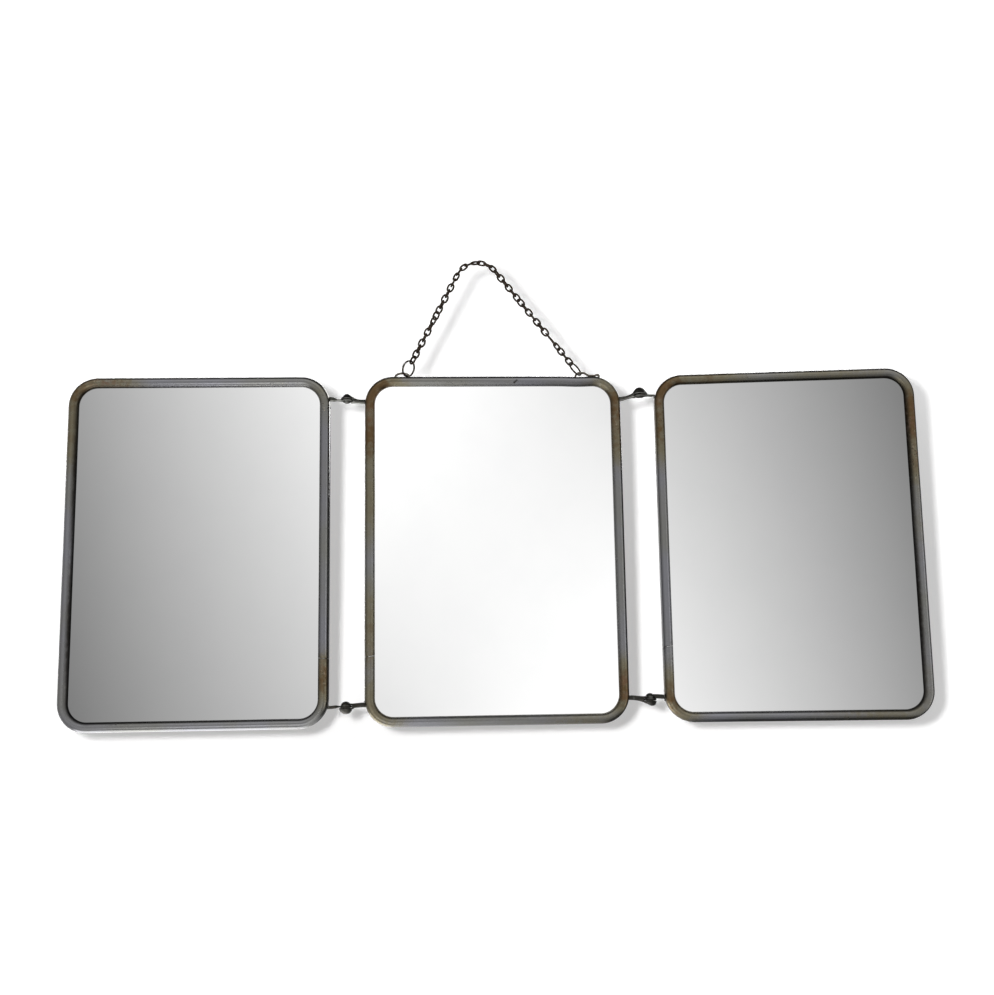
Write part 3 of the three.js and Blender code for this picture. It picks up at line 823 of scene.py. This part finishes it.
def centre_arm(reach, form, raised, shoulder):
    """A strip on edge whose end sweeps up into a dished eye and steps up to the rivet's head."""
    radius, spread_, power = form["dish"]
    crown = CUP_HEIGHT - DISH_LIP + form["peak"]
    base = CUP_BASE + DISH_LIP

    def rise(share):
        floor = exp(-(spread_**power))
        return (exp(-((spread_ * share) ** power)) - floor) / (1 - floor)

    inner = radius - CUP_WALL
    shares = [i / 16 for i in range(17)]
    outside = [(radius * t, base + crown * rise(t)) for t in shares]
    inside = [(inner * t, base + (crown - CUP_WALL) * rise(t)) for t in reversed(shares)]
    points, faces = lathe([*outside, (radius - 0.15, CUP_BASE), (inner, CUP_BASE), *inside], 48)
    lean = form["lean"]
    points = [(x - lean * max(0.0, z - CUP_BASE) / CUP_HEIGHT, y, z) for x, y, z in points]
    far = shoulder_at(reach, ARM_DROP) - CLOSE_GAP
    rim_low = -ARM_DROP - raised + shoulder - ARM_HEIGHT / 2
    rim_high = rim_low + ARM_HEIGHT
    eye_low, eye_high = form["arm"]

    def edges(x):
        share = smooth_step((x - ARM_FOOT) / (far - ARM_FOOT))
        low = eye_low + (rim_low - eye_low) * share
        line = eye_high + (rim_high - eye_high) * share
        top = line + (base + crown - 0.5 - line) * exp(-(((x + lean) / form["sweep"]) ** 2))
        if x < ARM_FOOT + 1.2:
            top = max(top, CUP_BASE + 0.9)
        return low, top

    def width(x):
        return ARM_THICKNESS / 2 + FOOT_FLARE * smooth_step(1 - (x - ARM_FOOT) / 4)

    outer = [far + (ARM_FOOT - far) * i / 14 for i in range(15)]
    over = [ARM_FOOT + 1 - 4.4 * i / 8 for i in range(9)]
    head_radius, head_height = form["head"]
    under = [ARM_FOOT + 0.8, ARM_FOOT, head_radius - 0.15 - 0.35 * max(0.0, head_height - 1.7)]
    arm = fitted(strip([(x, width(x), *edges(x)) for x in outer]), ARM_FOOT, far, raised, ARM_DROP)
    bridge = strip([(x, BRIDGE_HALF, CUP_BASE + 0.1, edges(x)[1]) for x in over])
    tongue = strip([(x, TONGUE_HALF, eye_low, -EYE_TOP - CLOSE_GAP) for x in under])
    return joined([(points, faces), arm, bridge, tongue, tenon(reach, ARM_DROP, raised)])


def by_head(form, height, near):
    """How far the end of a wing's arm moves so that it follows the rivet's head."""
    radius, tall = form["head"]
    share = min(0.95, max(0.0, (-height - EYE_TOP) / tall))
    return radius * sqrt(1 - share * share) + CLOSE_GAP - near


def wing_arm(reach, form, raised, shoulder):
    """A strip on edge that twists flat into an eye, or meets it above its middle."""
    radius = EYE_RADIUS - 0.2
    flat = EYE_THICKNESS / 2
    chamfer = 0.15
    lower = [(0, -flat), (radius - chamfer, -flat), (radius, chamfer - flat)]
    disc = lathe([*lower, *((r, -z) for r, z in reversed(lower))], 48)
    twist, aside = form["twist"], form["aside"]
    far = shoulder_at(reach, 0) - CLOSE_GAP
    near = EYE_RADIUS - (1.1 if aside else 2.5)
    stations = []
    for i in range(15):
        x = far + (near - far) * i / 14
        share = (x - EYE_RADIUS) / (far - EYE_RADIUS)
        flatness = 0 if aside else min(1.0, max(0.0, (twist + 0.12 - share) / 0.3))
        half = form["wing"] + (flat - 0.04 - form["wing"]) * flatness
        thick = ARM_THICKNESS / 2 + 1.6 * flatness * (1 - 0.5 * max(0.0, share))
        middle = aside + (shoulder - raised - aside) * smooth_step(share)
        stations.append((x, thick, middle - half, middle + half))
    points, faces = fitted(strip(stations), EYE_RADIUS, far, raised, 0)
    if aside:
        bent = [x + by_head(form, z, near) * smooth_step(1 - (x - near) / 1.5) for x, _, z in points]
        points = [(x, y, z) for x, (_, y, z) in zip(bent, points)]
    return joined([disc, (points, faces), tenon(reach, 0, raised)])


def rivet(form):
    """A domed head below the eyes, a shank and a small peened tip above the dish."""
    half = pi / 2
    seat = -EYE_TOP - 0.08
    radius, height = form["head"]
    tip = CUP_TOP + form["peak"] - 0.15 - 0.5 * form["lean"]
    shank = 1.2
    profile = [
        *arc(0, seat, radius, height, -half, 0, 14),
        (shank, seat),
        (shank, tip),
        *arc(0, tip, shank, 0.35, 0, half, 6),
    ]
    return lathe(profile, 40)


def at_hinge(body, axes, up, side, lift):
    """Puts a hinge body, drawn dome up and rim towards +X, at its hinge."""
    turn = Matrix.Rotation(0 if side > 0 else pi, 4, "Z")
    flip = Matrix.Rotation(0 if up > 0 else pi, 4, "X")
    height = up * HINGE_HEIGHT + lift
    return placed(body, axes @ shift(0, 0, height) @ turn @ flip)


ARM_DENTS, RIVET_DENTS, WIRE_DENTS = 0.05, 0.04, 0.03
# How strongly a rivet's downward faces are painted lighter, as painted light from below.
RIVET_LIGHT_FROM_BELOW = 0.3


def hammered(piece, depth):
    """Small uneven dents, as on a piece worked by hand."""
    normals = [vertex.normal.copy() for vertex in piece.data.vertices]
    for vertex, normal in zip(piece.data.vertices, normals):
        push = noise.noise(vertex.co / (2.2 * MM)) + 0.5 * noise.noise(vertex.co / (0.9 * MM))
        vertex.co += normal * (push * depth * MM)


def wire_piece(name, body, rides_on, slot, node):
    """A piece of worn wire in place of a CAD node."""
    piece = mesh_object(name, *body)
    hammered(piece, WIRE_DENTS)
    smooth(piece, 60)
    finished(piece, rides_on, slot, [node])


def add_light_from_below(piece, amount):
    """Stores how far a piece is painted lighter as painted light from below: most on what looks down,
    least on top.
    """
    upward = np.array([vertex.normal.z for vertex in piece.data.vertices])
    store(piece, "wear", amount * np.clip((0.02 - upward) / 0.3, 0, 1))


# The hinges as they were worked: how far each eye sits above its arms' ends and how far the
# shoulders of the centre's and the wing's arm are moved; the dish's radius, spread and power;
# how much taller it is and how far it leans; the centre arm's edges at the eye and the width
# of its sweep; where the wing's arm twists, half its height and how far it passes beside the
# eye; the radius and height of the rivet's head; and how strongly the hinge's downward faces
# are painted lighter, as painted light from below.
HINGE_FORMS = {
    "top_left": dict(
        lift=-1.1, shoulders=(-0.7, 0), dish=(4.8, 1.1, 2.6), peak=0.1, lean=0,
        arm=(-2.3, 0.6), sweep=5.2, twist=0.5, wing=1.8, aside=0,
        head=(3.2, 1.7), wear=1.0,
    ),
    "top_right": dict(
        lift=1.9, shoulders=(0.9, 1.5), dish=(6.2, 0.95, 2.8), peak=1.6, lean=0,
        arm=(-1.9, 0.2), sweep=5.5, twist=0.5, wing=0.9, aside=0,
        head=(3.5, 1.0), wear=1.0,
    ),
    "bottom_left": dict(
        lift=-1.2, shoulders=(-1.8, -1.8), dish=(5.1, 0.7, 4), peak=0.5, lean=0,
        arm=(-2.3, 0.9), sweep=4.0, twist=0.2, wing=1.25, aside=0,
        head=(3.8, 3.0), wear=0.1,
    ),
    "bottom_right": dict(
        lift=0, shoulders=(0.2, 2.0), dish=(4.9, 0.9, 2.4), peak=-0.2, lean=1.9,
        arm=(-2.8, 0.3), sweep=7.6, twist=0, wing=1.7, aside=-2.4,
        head=(3.7, 4.2), wear=0.1,
    ),
}


MELT_VOXEL = 0.2


def make_hinges():
    for side, sign in SIDES.items():
        from_centre = PIVOT_FROM_CENTRE[side]
        from_wing = PANEL_GAP - from_centre
        for level, up in (("top", 1), ("bottom", -1)):
            label = level + "_" + side
            form = HINGE_FORMS[label]
            lift = form["lift"]
            raised = lift * up
            kinds = [
                ("arm_centre_", centre_arm, from_centre, hinge_matrix(side), -sign, "centre_panel"),
                ("arm_wing_", wing_arm, from_wing, wing_matrix(side), sign, BODY[side]),
            ]
            for (kind, draw, reach, axes, towards, rides_on), shoulder in zip(kinds, form["shoulders"]):
                body = draw(reach, form, raised, shoulder * up)
                piece = mesh_object(kind + "skin_" + label, *at_hinge(body, axes, up, towards, lift))
                remeshed(piece, MELT_VOXEL, 3)
                hammered(piece, ARM_DENTS)
                # Painted light from below: the downward faces are painted lighter.
                add_light_from_below(piece, form["wear"])
                smooth(piece, 60)
                finished(piece, rides_on, "hinge_steel", [kind + label])
            body = at_hinge(rivet(form), hinge_matrix(side), up, sign, lift)
            piece = mesh_object("rivet_skin_" + label, *body)
            hammered(piece, RIVET_DENTS)
            add_light_from_below(piece, RIVET_LIGHT_FROM_BELOW)
            smooth(piece, 50)
            finished(piece, "centre_panel", "hinge_steel", ["pivot_rivet_" + label])


# Staples

STAPLE_LINE = RIM_TOP + STAPLE_HEIGHT - STAPLE_WIRE / 2
CLENCH_LINE = RIM_TOP - RIM_SHEET - SEAT_GAP - STAPLE_WIRE / 2
WIRE_ON_RIM = RIM_TOP + SEAT_GAP + STAPLE_WIRE / 2
CLENCH_LENGTH = 4
CLENCH_BEND = 1.2
STAPLE_BEND = 3.2
SLACK_BEND = 2.5
HUMP_BEND = 0.8


def turned(vector, angle):
    c, s = cos(angle), sin(angle)
    return Vector((c * vector.x - s * vector.y, s * vector.x + c * vector.y))


def bent_points(corners):
    """Points along straight runs in the XZ plane whose corners are rounded."""
    points = []
    for i, corner in enumerate(corners):
        here = Vector(corner[:2])
        if len(corner) == 2:
            points.append(here)
            continue
        radius = corner[2]
        back = (Vector(corners[i - 1][:2]) - here).normalized()
        on = (Vector(corners[i + 1][:2]) - here).normalized()
        half = acos(max(-1, min(1, back.dot(on)))) / 2
        centre = here + (back + on).normalized() * (radius / sin(half))
        start = here + back * (radius / tan(half)) - centre
        turn = copysign(pi - 2 * half, back.cross(on))
        steps = max(4, round(abs(turn) / 0.13))
        points += [centre + turned(start, -turn * step / steps) for step in range(steps + 1)]
    return [Vector((p.x, FITTINGS_DEPTH, p.y)) for p in points]


def clench(x, length):
    return [
        (x + length, CLENCH_LINE - top_drop(x + length)),
        (x, CLENCH_LINE - top_drop(x), CLENCH_BEND),
    ]


def arch(start, end):
    """Points of a staple's round arch from one leg to the other."""
    middle, half = (start + end) / 2, (end - start) / 2
    foot = RIM_TOP - 0.6
    steps = 18
    points = []
    for i in range(steps + 1):
        angle = pi * i / steps
        across = -bulged(cos(angle), 0.9)
        up = sin(angle) ** 0.9
        points.append((middle + half * across, foot + (STAPLE_LINE - foot) * up))
    return points


def make_staples():
    left = {k: staple_place("left", v) for k, v in LEFT_STAPLE.items()}
    right = {k: staple_place("right", v) for k, v in RIGHT_STAPLE.items()}
    hump = RIM_TOP + HUMP_HEIGHT - STAPLE_WIRE / 2
    corners = {
        "left": [
            *clench(left["outer"], CLENCH_LENGTH),
            *arch(left["outer"], left["inner"]),
            *reversed(clench(left["inner"], -CLENCH_LENGTH)),
        ],
        "right": [
            *clench(right["inner"], CLENCH_LENGTH),
            (right["inner"], STAPLE_LINE, STAPLE_BEND),
            (right["shoulder"], STAPLE_LINE, SLACK_BEND),
            (right["foot"], WIRE_ON_RIM, SLACK_BEND),
            (right["rise"], WIRE_ON_RIM, HUMP_BEND),
            (right["crest"], hump, HUMP_BEND),
            (right["outer"], hump, HUMP_BEND),
            *reversed(clench(right["outer"], -CLENCH_LENGTH)),
        ],
    }
    for side, points in corners.items():
        path = bent_points(points)
        body = placed(wire(path, (0, 1, 0), (STAPLE_WIRE + STAPLE_STOUTNESS) / 2), CENTRE)
        wire_piece("staple_skin_" + side, body, "centre_panel", "staple_wire", "staple_" + side)


# Chain

RING_LINE = STAPLE_LINE - STAPLE_WIRE / 2 - SEAT_GAP - RING_WIRE / 2
RING_SPAN = 2 * RING_RADIUS - RING_WIRE
PEG_CENTRE = Vector((PEG_PLACE, RIM_TOP + PEG_HEIGHT - PEG_RADIUS))
DRAPE_RADIUS = PEG_RADIUS + LINK_WIDTH / 2
LEFT_LINK_TURN = -41


class Run:
    """A straight stretch of chain from a ring's foot to the circle it is draped on."""

    def __init__(self, side, inner_leg):
        place = staple_place(side, inner_leg - RING_FROM_LEG[side])
        self.foot = Vector((place, RING_LINE))
        to_peg = PEG_CENTRE - self.foot
        lift = asin(DRAPE_RADIUS / to_peg.length) * (1 if side == "left" else -1)
        self.pull = turned(to_peg.normalized(), lift)
        self.length = sqrt(to_peg.length_squared - DRAPE_RADIUS**2)
        spoke = self.foot + self.pull * self.length - PEG_CENTRE
        self.angle = atan2(spoke.y, spoke.x) % (2 * pi)


LEFT_RUN = Run("left", LEFT_STAPLE["inner"])
RIGHT_RUN = Run("right", RIGHT_STAPLE["inner"])
LEFT_STRAIGHT = LEFT_RUN.length - RING_SPAN
RIGHT_STRAIGHT = RIGHT_RUN.length - RING_SPAN
CHAIN_LENGTH = LEFT_STRAIGHT + DRAPE_RADIUS * (LEFT_RUN.angle - RIGHT_RUN.angle) + RIGHT_STRAIGHT


def chain_at(distance):
    """Place and direction of the chain's middle line, from the left ring."""
    if distance < LEFT_STRAIGHT:
        return LEFT_RUN.foot + LEFT_RUN.pull * (RING_SPAN + distance), LEFT_RUN.pull
    if distance > CHAIN_LENGTH - RIGHT_STRAIGHT:
        rest = RING_SPAN + CHAIN_LENGTH - distance
        return RIGHT_RUN.foot + RIGHT_RUN.pull * rest, -RIGHT_RUN.pull
    angle = LEFT_RUN.angle - (distance - LEFT_STRAIGHT) / DRAPE_RADIUS
    spoke = Vector((cos(angle), sin(angle)))
    return PEG_CENTRE + spoke * DRAPE_RADIUS, Vector((spoke.y, -spoke.x))


def frame_at(place, along, turn):
    """Axes of a link: X along the chain, Y across its opening."""
    along_axis = Vector((along.x, 0, along.y))
    depth_axis = Vector((0, 1, 0))
    across = depth_axis.cross(along_axis) * cos(turn) + depth_axis * sin(turn)
    through = along_axis.cross(across)
    axes = Matrix((along_axis, across, through)).transposed().to_4x4()
    return CENTRE @ shift(place.x, FITTINGS_DEPTH, place.y) @ axes


def link_body(length, fuller):
    """An oval link in its XY plane, of a wire that looks stouter for its scale and wear."""
    half_length = (length - LINK_WIRE + LINK_STOUTNESS) / 2
    half_width = (LINK_WIDTH - LINK_WIRE - LINK_STOUTNESS) / 2 + fuller
    fullness = 0.9
    points = []
    for a in turns(40):
        x, y = half_length * bulged(cos(a), fullness), half_width * bulged(sin(a), fullness)
        points.append(Vector((x, y, 0)))
    return wire(points, (0, 0, 1), (LINK_WIRE + LINK_STOUTNESS) / 2, 12, True)


WOBBLE, WOBBLE_PACE = 11, 2.4  # degrees, and radians from link to link
# Where the chain is twisted: first link, links taken and degrees
TWISTS = [(0, 1.5, -49), (5, 5, 180), (17, 3, 90), (26, 4, 90), (35, 4, 180)]


def link_turn(index):
    """A link's turn about the chain, from a first one set by the left ring."""
    turn = LEFT_LINK_TURN + 90 * index
    for first, taken, degrees in TWISTS:
        turn += degrees * smooth_step((index - first) / taken)
    turn += WOBBLE * sin(WOBBLE_PACE * index)
    return radians(turn)


def make_chain():
    pairs = round(CHAIN_LENGTH / (2 * (LINK_LENGTH - 2 * LINK_WIRE)))
    count = 2 * pairs
    slack = (pairs - 1) * SEAT_GAP - pairs * LINK_BITE + 2 * SEAT_GAP + RING_WIRE
    length = (CHAIN_LENGTH + slack + 2 * count * LINK_WIRE) / count
    pitch = length - 2 * LINK_WIRE
    link = link_body(length, LINK_FULLNESS)
    draped_link = link_body(length, DRAPED_FULLNESS)
    distance = length / 2 - LINK_WIRE - RING_WIRE / 2 - SEAT_GAP
    for pair in range(pairs):
        bodies = []
        for second in (0, 1):
            place, along = chain_at(distance)
            draped = LEFT_STRAIGHT - length < distance < CHAIN_LENGTH - RIGHT_STRAIGHT + length
            body = draped_link if draped else link
            bodies.append(placed(body, frame_at(place, along, link_turn(2 * pair + second))))
            distance += pitch - SEAT_GAP if second else pitch + LINK_BITE
        label = f"{2 * pair + 1:02d}_{2 * pair + 2:02d}"
        wire_piece("links_" + label, joined(bodies), "chain", "chain_steel", "chain_links_" + label)
    for side, run in (("left", LEFT_RUN), ("right", RIGHT_RUN)):
        middle = RING_RADIUS - RING_WIRE / 2
        circle = [Vector((x, y, 0)) for x, y in arc(0, 0, middle, middle, 0, 2 * pi, 64)[:-1]]
        body = wire(circle, (0, 0, 1), (RING_WIRE + RING_STOUTNESS) / 2, 14, True)
        centre = run.foot + run.pull * (RING_SPAN / 2)
        axes = frame_at(centre, run.pull, radians(RING_TURN[side]))
        wire_piece("ring_skin_" + side, placed(body, axes), "chain", "chain_steel", "end_ring_" + side)


make_rims()
make_hinges()
make_staples()
make_chain()
for panel in BODY:
    dressed("mirror_" + panel, "mirror_glass")
    dressed("packing_card_" + panel, "packing_card")
    dressed("backboard_" + panel, "backboard")


# Stage

WALL_FOOT = (250, -355)  # depth and height of a place on the wall
WALL_LEAN = 0.35
WALL_REACH = 2000
SHADOW_LAMP = (-37, 0, 20)  # from the camera
SHADOW_LAMP_SIZE = 25
SHADOW_LAMP_POWER = 12.6
BACK_LAMP = (600, 1400, 500)
BACK_LAMP_SIZE = 900
BACK_LAMP_POWER = 14


def emptied(holder):
    """The node tree of a material or world, with nothing in it."""
    holder.use_nodes = True
    holder.node_tree.nodes.clear()
    return Nodes(holder.node_tree)


def stage_plane(name, corners, material):
    """A rectangle of the stage, its corners in millimetres from the low left one round."""
    mesh = bpy.data.meshes.new(name)
    mesh.from_pydata([Vector(c) * MM for c in corners], [], [(0, 1, 2, 3)])
    uv = mesh.uv_layers.new(name="spread")
    for loop, value in zip(uv.data, [(0, 0), (1, 0), (1, 1), (0, 1)]):
        loop.uv = value
    plane = linked(name, mesh)
    mesh.materials.append(material)
    return plane


def make_wall():
    """A white wall that leans away behind the mirror, keeps its shadow and is clear from behind."""
    material = bpy.data.materials.new("white_wall")
    n = emptied(material)
    place = n.coordinate("Object")
    x, _, z = n.parts(place)
    # The paint is darker low down and near the middle, against the shadow lamp's falloff, and the glow
    # seen only by the camera rises outwards, so the lit wall shows evenly white.
    tone = n.ramp(z, -0.42, 0.30, 0.50, 1.0)
    for near, far, gain in ((0.0, 0.5, 1.42), (-0.2, -0.8, 1.42), (-0.12, -0.32, 1.08)):
        tone = n.times(tone, n.ramp(x, near, far, 1.0, gain))
    paint = n.add("BsdfDiffuse", {"Color": n.math("MINIMUM", tone, 0.96)})
    glow_level = n.ramp(n.distance(place, (0.04, 0.32, -0.16)), 0.43, 0.69, 0.425, 1.0)
    rays = n.add("LightPath").outputs
    glow = n.add("Emission", {"Strength": n.times(rays["Is Camera Ray"], glow_level)})
    both = n.add("AddShader", {0: paint.outputs[0], 1: glow.outputs[0]})
    clear = n.add("BsdfTransparent")
    unseen = n.most(n.add("NewGeometry").outputs["Backfacing"], rays["Is Glossy Ray"])
    pick = n.add("MixShader", {"Fac": unseen, 1: both.outputs[0], 2: clear.outputs[0]})
    n.add("OutputMaterial", {"Surface": pick.outputs[0]})
    rows = []
    for height in (-WALL_REACH, WALL_REACH):
        depth = WALL_FOOT[0] + WALL_LEAN * (height - WALL_FOOT[1])
        rows.append([(-WALL_REACH, depth, height), (WALL_REACH, depth, height)])
    low, high = rows
    stage_plane("wall", [low[0], low[1], high[1], high[0]], material)


def make_world():
    """White to the camera, a soft fill, and a pale room with a window strip for metal to reflect."""
    world = bpy.data.worlds.new("studio")
    bpy.context.scene.world = world
    n = emptied(world)
    x, y, z = n.parts(n.coordinate("Generated"))
    behind = n.ramp(x, -0.3, 0.25, 1.25, 0.12)
    front = n.ramp(y, -0.75, -0.45, 1.5, 1.05)
    level = n.ramp(y, -0.15, 0.2, front, behind)
    window = n.times(n.ramp(x, 0.76, 0.80), n.ramp(x, 0.86, 0.92, 1, 0.15))
    window = n.times(window, n.ramp(z, 0.10, 0.22, 1, 0.1))
    window = n.times(window, n.ramp(y, -0.3, -0.1, 2.2, 0))
    above = n.ramp(y, -0.45, -0.10, 1.65, 0.2)
    level = n.times(n.math("ADD", level, window), n.ramp(z, 0.36, 0.66, 1.0, above))
    rays = n.add("LightPath").outputs
    shiny = n.most(rays["Is Glossy Ray"], rays["Is Transmission Ray"])
    fill = n.add("Mix", {"Factor": shiny, 2: 0.2, 3: level})
    seen = n.add("Mix", {"Factor": rays["Is Camera Ray"], 2: fill.outputs[0], 3: 1})
    back = n.add("Background", {"Strength": seen.outputs[0]})
    n.add("OutputWorld", {"Surface": back.outputs[0]})


def make_camera():
    """The photograph's camera."""
    turn = (
        Matrix.Rotation(CAMERA_YAW, 3, "Z")
        @ Matrix.Rotation(CAMERA_PITCH, 3, "X")
        @ Matrix.Rotation(CAMERA_ROLL, 3, "Y")
    )
    right, ahead, up = turn.col[0], turn.col[1], turn.col[2]
    axes = Matrix((right, up, -ahead)).transposed().to_4x4()
    lens = bpy.data.cameras.new("camera")
    lens.sensor_width = SENSOR
    lens.lens = SENSOR * FOCAL_PIXELS / PHOTO_HEIGHT
    lens.clip_start = 0.01
    lens.clip_end = 20
    camera = linked("camera", lens)
    camera.matrix_world = Matrix.Translation(Vector(CAMERA_PLACE) * MM) @ axes
    bpy.context.scene.camera = camera


def add_lamp(name, place, target, size, power, glossy=False):
    """A round lamp aimed at a point; places in millimetres."""
    data = bpy.data.lights.new(name, "AREA")
    data.shape = "DISK"
    data.size = size * MM
    data.energy = power
    lamp = linked(name, data)
    lamp.location = Vector(place) * MM
    aim = Vector(target) - Vector(place)
    lamp.rotation_mode = "QUATERNION"
    lamp.rotation_quaternion = aim.to_track_quat("-Z", "Y")
    lamp.visible_glossy = glossy
    lamp.visible_camera = False


# Grey films on the glass that only reflections see: how much light passes at the top
# left, top right, bottom left and bottom right. They stand for the room's darker sides.
FILM_PASS = {
    "left": (0.309, 0.764, 0.164, 0.503),
    "centre": (1.0, 0.67, 0.66, 1.0),
    "right": (0.521, 0.175, 0.756, 0.289),
}
FILM_FROM_GLASS = 0.08


def for_reflections_only(plane):
    for ray in ("camera", "diffuse", "shadow", "transmission"):
        setattr(plane, "visible_" + ray, False)


def make_film(name):
    """One film, as large as the glass that shows inside the rim."""
    material = bpy.data.materials.new("film_" + name)
    n = emptied(material)
    across, up, _ = n.parts(n.coordinate("UV"))
    top_left, top_right, low_left, low_right = FILM_PASS[name]
    low = n.ramp(across, 0, 1, low_left, low_right, "LINEAR")
    top = n.ramp(across, 0, 1, top_left, top_right, "LINEAR")
    clear = n.add("BsdfTransparent", {"Color": n.ramp(up, 0, 1, low, top, "LINEAR")})
    n.add("OutputMaterial", {"Surface": clear.outputs[0]})
    half_x, half_z = RIM_SIDE - BEAD_RADIUS, RIM_TOP - BEAD_RADIUS
    depth = GLASS_DEPTH - FILM_FROM_GLASS
    signs = ((-1, -1), (1, -1), (1, 1), (-1, 1))
    corners = [panel_matrix(name) @ Vector((x * half_x, depth, z * half_z)) for x, z in signs]
    for_reflections_only(stage_plane("film_" + name, corners, material))


# Glowing strips of floor that only reflections see: near and far edge, and levels from
# left to right
FLOOR_LEVEL = -620
FLOOR_LEFT, FLOOR_RIGHT = -500, 500
FLOOR_STRIPS = {
    "behind": (400, -100, [(0.0, 5), (0.36, 5), (0.44, 1.8), (0.60, 1.1), (0.72, 0.18), (1, 0.14)]),
    "near": (
        -100, -230,
        [(0.0, 0.7), (0.34, 0.9), (0.43, 2.1), (0.52, 1.3), (0.62, 0.8), (0.72, 0.16), (1, 0.12)],
    ),
    "middle": (
        -230, -520,
        [(0.0, 1.5), (0.34, 1.6), (0.43, 2.2), (0.52, 1.7), (0.62, 1.1), (0.72, 0.7), (1, 0.6)],
    ),
    "far": (-520, -1700, [(0.0, 3.6), (0.36, 3.6), (0.45, 1.5), (0.62, 1.1), (0.72, 0.6), (1, 0.5)]),
}
FLOOR_STRENGTH = 6


def make_floor_strip(name):
    back, front, stops = FLOOR_STRIPS[name]
    material = bpy.data.materials.new("floor_" + name)
    n = emptied(material)
    scale = n.add("ValToRGB", {"Fac": n.parts(n.coordinate("UV"))["X"]})
    elements = scale.color_ramp.elements
    while len(elements) < len(stops):
        elements.new(0.5)
    for element, (share, level) in zip(elements, stops):
        grey = level / FLOOR_STRENGTH
        element.position = share
        element.color = (grey, grey, grey, 1)
    glow = n.add("Emission", {"Color": scale.outputs["Color"], "Strength": FLOOR_STRENGTH})
    n.add("OutputMaterial", {"Surface": glow.outputs[0]})
    outline = ((FLOOR_LEFT, front), (FLOOR_RIGHT, front), (FLOOR_RIGHT, back), (FLOOR_LEFT, back))
    corners = [(x, y, FLOOR_LEVEL) for x, y in outline]
    for_reflections_only(stage_plane("floor_" + name, corners, material))


make_world()
make_wall()
for panel in BODY:
    make_film(panel)
for strip_name in FLOOR_STRIPS:
    make_floor_strip(strip_name)
make_camera()
lamp_place = tuple(c + d for c, d in zip(CAMERA_PLACE, SHADOW_LAMP))
add_lamp("shadow_lamp", lamp_place, (10, 0, -226), SHADOW_LAMP_SIZE, SHADOW_LAMP_POWER)
add_lamp("back_fill", BACK_LAMP, (0, 0, -226), BACK_LAMP_SIZE, BACK_LAMP_POWER, True)

bpy.context.scene.view_settings.view_transform = "Standard"
